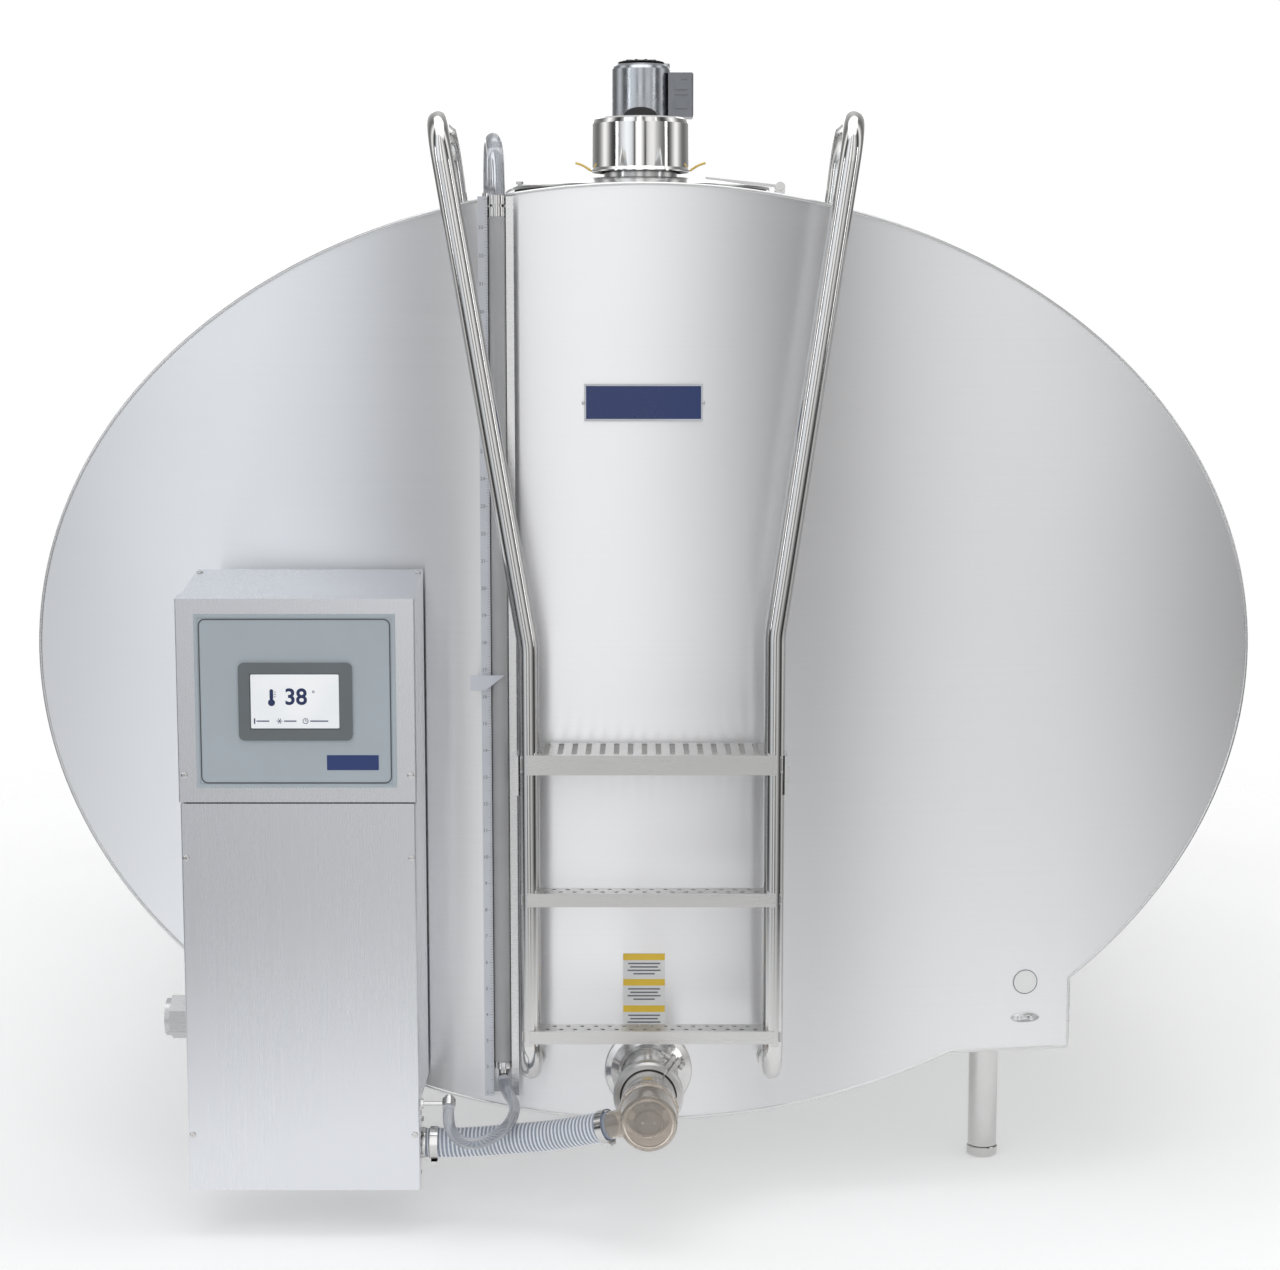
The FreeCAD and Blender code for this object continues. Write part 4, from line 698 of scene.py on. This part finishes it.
add_frame(bm, round_rect(-0.783, -0.4451, 0.837, 1.131, 0.012), round_rect(-0.7808, -0.4473, 0.8392, 1.1288, 0.010),
          CY - 0.0016, CY - 0.0021)
new_obj("panel_border", bm, "tank", M["film_edge"], smooth=False)
bm = bmesh.new()
add_slab(bm, round_rect(-0.5599, -0.4683, 0.861, 0.8879, 0.001, 2), CY - 0.0016, CY - 0.0020)
new_obj("panel_navy_label", bm, "tank", M["navy_label"], smooth=False)
bm = bmesh.new()
add_slab(bm, round_rect(-0.692, -0.5366, 0.9365, 1.0325, 0.002, 3), CY - 0.0044, CY - 0.0050)
new_obj("screen_face", bm, "tank", M["screen"], smooth=False)

# reading on the screen: a thermometer sign, two digits set in type, a degree ring and a row of plain icons
SY0, SY1 = CY - 0.0050, CY - 0.0053
bm = bmesh.new()


def bar(xa, xb, za, zb):
    add_slab(bm, [(xa, za), (xb, za), (xb, zb), (xa, zb)], SY0, SY1)


def poly(pts):
    add_slab(bm, pts, SY0, SY1)


text_items = []
cx, cz = -0.6555, 0.9865
poly(round_rect(cx - 0.0032, cx + 0.0032, cz + 0.001, cz + 0.020, 0.0031, 5))
poly([(cx + 0.0062 * math.cos(2 * math.pi * k / 28), cz - 0.004 + 0.0062 * math.sin(2 * math.pi * k / 28)) for k in range(28)])
for k in range(3):
    bar(cx + 0.0046, cx + 0.0078, cz + 0.0058 + 0.0042 * k, cz + 0.0068 + 0.0042 * k)
# degree ring
add_frame(bm, [(-0.5815 + 0.0022 * math.cos(2 * math.pi * k / 20), 1.0018 + 0.0022 * math.sin(2 * math.pi * k / 20)) for k in range(20)],
          [(-0.5815 + 0.0013 * math.cos(2 * math.pi * k / 20), 1.0018 + 0.0013 * math.sin(2 * math.pi * k / 20)) for k in range(20)],
          SY0, SY1)
# lower icons: level bar, snow cross, clock ring, and short rules
bar(-0.6870, -0.6848, 0.9445, 0.9545)
bar(-0.6825, -0.6600, 0.9485, 0.9505)
for k in range(3):
    a = math.pi * k / 3
    c, s = math.cos(a), math.sin(a)
    px, pz, hw, hl = -0.6420, 0.9495, 0.0005, 0.0052
    poly([(px + c * hl - s * hw, pz + s * hl + c * hw), (px - c * hl - s * hw, pz - s * hl + c * hw),
          (px - c * hl + s * hw, pz - s * hl - c * hw), (px + c * hl + s * hw, pz + s * hl - c * hw)])
bar(-0.6340, -0.6120, 0.9485, 0.9505)
add_frame(bm, [(-0.5960 + 0.0050 * math.cos(2 * math.pi * k / 28), 0.9495 + 0.0050 * math.sin(2 * math.pi * k / 28)) for k in range(28)],
          [(-0.5960 + 0.0040 * math.cos(2 * math.pi * k / 28), 0.9495 + 0.0040 * math.sin(2 * math.pi * k / 28)) for k in range(28)],
          SY0, SY1)
bar(-0.5964, -0.5956, 0.9495, 0.9530)
bar(-0.5960, -0.5930, 0.9491, 0.9499)
bar(-0.5880, -0.5560, 0.9485, 0.9505)
new_obj("screen_icons", bm, "tank", M["screen_ink"], smooth=False)
text_mesh("screen_digits", [("38", -0.6125, 0.9915)], 0.0400, "tank", M["screen_ink"], SY0 - 0.0002)

# ----------------------------------------------------------- outlet details
OX, OZ = 0.009, 0.246
bm = bmesh.new()
for k in range(3):
    a = math.radians(90 + 120 * k)
    add_lathe(bm, [(0.0, 0.0016), (0.0016, 0.0014), (0.0021, 0.0006), (0.0022, 0.0), (0.0, 0.0)],
              (OX + 0.012 * math.cos(a), -0.431 + YS, OZ + 0.012 * math.sin(a)), (0, -1, 0), 16)
new_obj("plug_screws", bm, "outlet_plug", M["turned"])
bm = bmesh.new()
add_tube(bm, [Vector((OX + 0.0805 * math.cos(2 * math.pi * k / 64),
                      head_y(OX + 0.0805 * math.cos(2 * math.pi * k / 64)) - 0.0006,
                      OZ + 0.0805 * math.sin(2 * math.pi * k / 64))) for k in range(64)], 0.0018, 8, closed=True)
new_obj("outlet_weld", bm, "tank", M["cast"])

# ------------------------------------------------------------ studio and floor
bm = bmesh.new()
rings_r = [0.0, 2.0, 4.0, 6.0, 8.0, 11.0, 15.0]
prev = None
for r in rings_r:
    if r == 0:
        cur = [bm.verts.new((0, 0, 0))]
    else:
        cur = [bm.verts.new((r * math.cos(2 * math.pi * k / 96), r * math.sin(2 * math.pi * k / 96), 0)) for k in range(96)]
    if prev is not None:
        for k in range(96):
            k2 = (k + 1) % 96
            if len(prev) == 1:
                bm.faces.new((prev[0], cur[k], cur[k2]))
            else:
                bm.faces.new((prev[k], cur[k], cur[k2], prev[k2]))
    prev = cur
me = bpy.data.meshes.new("floor")
bm.to_mesh(me)
bm.free()
floor = bpy.data.objects.new("floor", me)
scene.collection.objects.link(floor)
fm, fnt, fb = tree("pale_floor")
vec = mapped(fnt, (1, 1, 1))
fn = noise(fnt, vec, 1.4, 2.0, 0.5)
fnt.links.new(mix_col(fnt, ranged(fnt, fn, 0.0, 1.0), (0.92, 0.92, 0.92), (0.94, 0.94, 0.94)), fb.inputs["Base Color"])
fb.inputs["Roughness"].default_value = 0.85
fb.inputs["Emission Color"].default_value = (1.0, 1.0, 1.0, 1.0)
fb.inputs["Emission Strength"].default_value = 0.24
fb.inputs["Specular IOR Level"].default_value = 0.2
# the floor fades into the plain surround away from the object
ln = fnt.nodes.new("ShaderNodeVectorMath")
ln.operation = "LENGTH"
fnt.links.new(mapped(fnt, (1 / 1.8, 1 / 2.5, 1)), ln.inputs[0])
fade = ranged(fnt, ln.outputs["Value"], 1.0, 0.0, 0.95, 1.75)
fnt.links.new(fade, fb.inputs["Alpha"])
me.materials.append(fm)

world = bpy.data.worlds.new("studio")
scene.world = world
world.use_nodes = True
wt = world.node_tree
for nd in list(wt.nodes):
    wt.nodes.remove(nd)
out = wt.nodes.new("ShaderNodeOutputWorld")
tc = wt.nodes.new("ShaderNodeTexCoord")
sep = wt.nodes.new("ShaderNodeSeparateXYZ")
wt.links.new(tc.outputs["Generated"], sep.inputs[0])
# bearing from the front of the tank: 0 straight ahead of it, positive to +X
neg = math_node(wt, "MULTIPLY", sep.outputs["Y"], -1.0)
az = math_node(wt, "ARCTAN2", sep.outputs["X"], neg)
front = [(-60, .06, 0), (-51, .40, .02), (-44, .90, .03), (-37, 1.06, .03), (-32, 1.20, .03), (-28, 1.10, .03),
         (-23, .98, .03), (-19, .80, .03), (-16, .36, .02), (-14.4, .05, .01), (-12.9, .04, .01), (-11.8, .40, 0), (-10, 1.35, 0), (-6, 1.75, -.01),
         (-2, 1.50, -.01), (1, 1.20, 0), (4, .92, 0), (6.5, .66, 0), (8.5, .40, 0), (10.4, .04, 0), (12.0, .03, 0), (13.8, .46, 0),
         (17, .80, 0), (21, .92, 0), (27, 1.02, 0), (33, .98, 0), (38, .66, 0), (46, .40, 0), (60, .06, 0)]
sides = [(60, .06, 0), (71, .04, 0), (81, .40, 0), (93, 1.45, 0), (105, .45, 0), (121, .06, 0), (150, .40, 0), (180, .70, 0)]


def strip(fac, rows, lo, hi):
    node = wt.nodes.new("ShaderNodeValToRGB")
    cr = node.color_ramp
    cr.interpolation = "B_SPLINE"
    while len(cr.elements) > 1:
        cr.elements.remove(cr.elements[-1])
    for i, (deg, v, blue) in enumerate(rows):
        pos = (deg - lo) / (hi - lo)
        e = cr.elements[0] if i == 0 else cr.elements.new(pos)
        e.position = pos
        v = v / 1.3
        e.color = (v * (1 - blue), v, v * (1 + 1.2 * blue), 1.0)
    wt.links.new(fac, node.inputs["Fac"])
    return node.outputs["Color"]


deg60 = math.radians(60)
wide = math_node(wt, "ABSOLUTE", az, 0.0)
c_front = strip(ranged(wt, az, 0.0, 1.0, -deg60, deg60), front, -60, 60)
c_side = strip(ranged(wt, wide, 0.0, 1.0, deg60, math.pi), sides, 60, 180)
ring_color = mix_col(wt, math_node(wt, "GREATER_THAN", wide, deg60), c_front, c_side)
# overhead softness: brighter above, calmer low down
up = ranged(wt, sep.outputs["Z"], 0.48, 1.12, -0.30, 0.16)
bg = wt.nodes.new("ShaderNodeBackground")
wt.links.new(ring_color, bg.inputs["Color"])
wt.links.new(math_node(wt, "MULTIPLY", up, 1.3), bg.inputs["Strength"])
plain = wt.nodes.new("ShaderNodeBackground")
plain.inputs["Color"].default_value = (1.0, 1.0, 1.0, 1.0)
plain.inputs["Strength"].default_value = 1.0
lp = wt.nodes.new("ShaderNodeLightPath")
mx = wt.nodes.new("ShaderNodeMixShader")
wt.links.new(lp.outputs["Is Camera Ray"], mx.inputs[0])
wt.links.new(bg.outputs[0], mx.inputs[1])
wt.links.new(plain.outputs[0], mx.inputs[2])
wt.links.new(mx.outputs[0], out.inputs["Surface"])


def area(name, loc, target, size, size_y, power, color=(1, 1, 1)):
    ld = bpy.data.lights.new(name, "AREA")
    ld.shape = "RECTANGLE"
    ld.size = size
    ld.size_y = size_y
    ld.energy = power
    ld.color = color
    ob = bpy.data.objects.new(name, ld)
    scene.collection.objects.link(ob)
    ob.location = loc
    d = Vector(target) - Vector(loc)
    ob.rotation_euler = d.to_track_quat("-Z", "Y").to_euler()
    ob.visible_camera = False
    return ob


area("top_softbox", (0.0, -1.2, 5.4), (0, -0.4, 1.0), 4.5, 4.0, 70)
area("left_softbox", (-4.6, -4.0, 2.4), (0, -1.0, 1.0), 0.5, 2.6, 14, (0.95, 0.97, 1.0))
area("right_softbox", (4.6, -3.4, 2.2), (0, -1.0, 1.0), 0.5, 2.6, 12)
area("back_softbox", (0.0, 5.5, 3.4), (0, 0.0, 1.2), 4.0, 2.4, 40)

scene.view_settings.view_transform = "Standard"
scene.view_settings.look = "None"
scene.view_settings.exposure = 0.0
scene.view_settings.gamma = 1.0
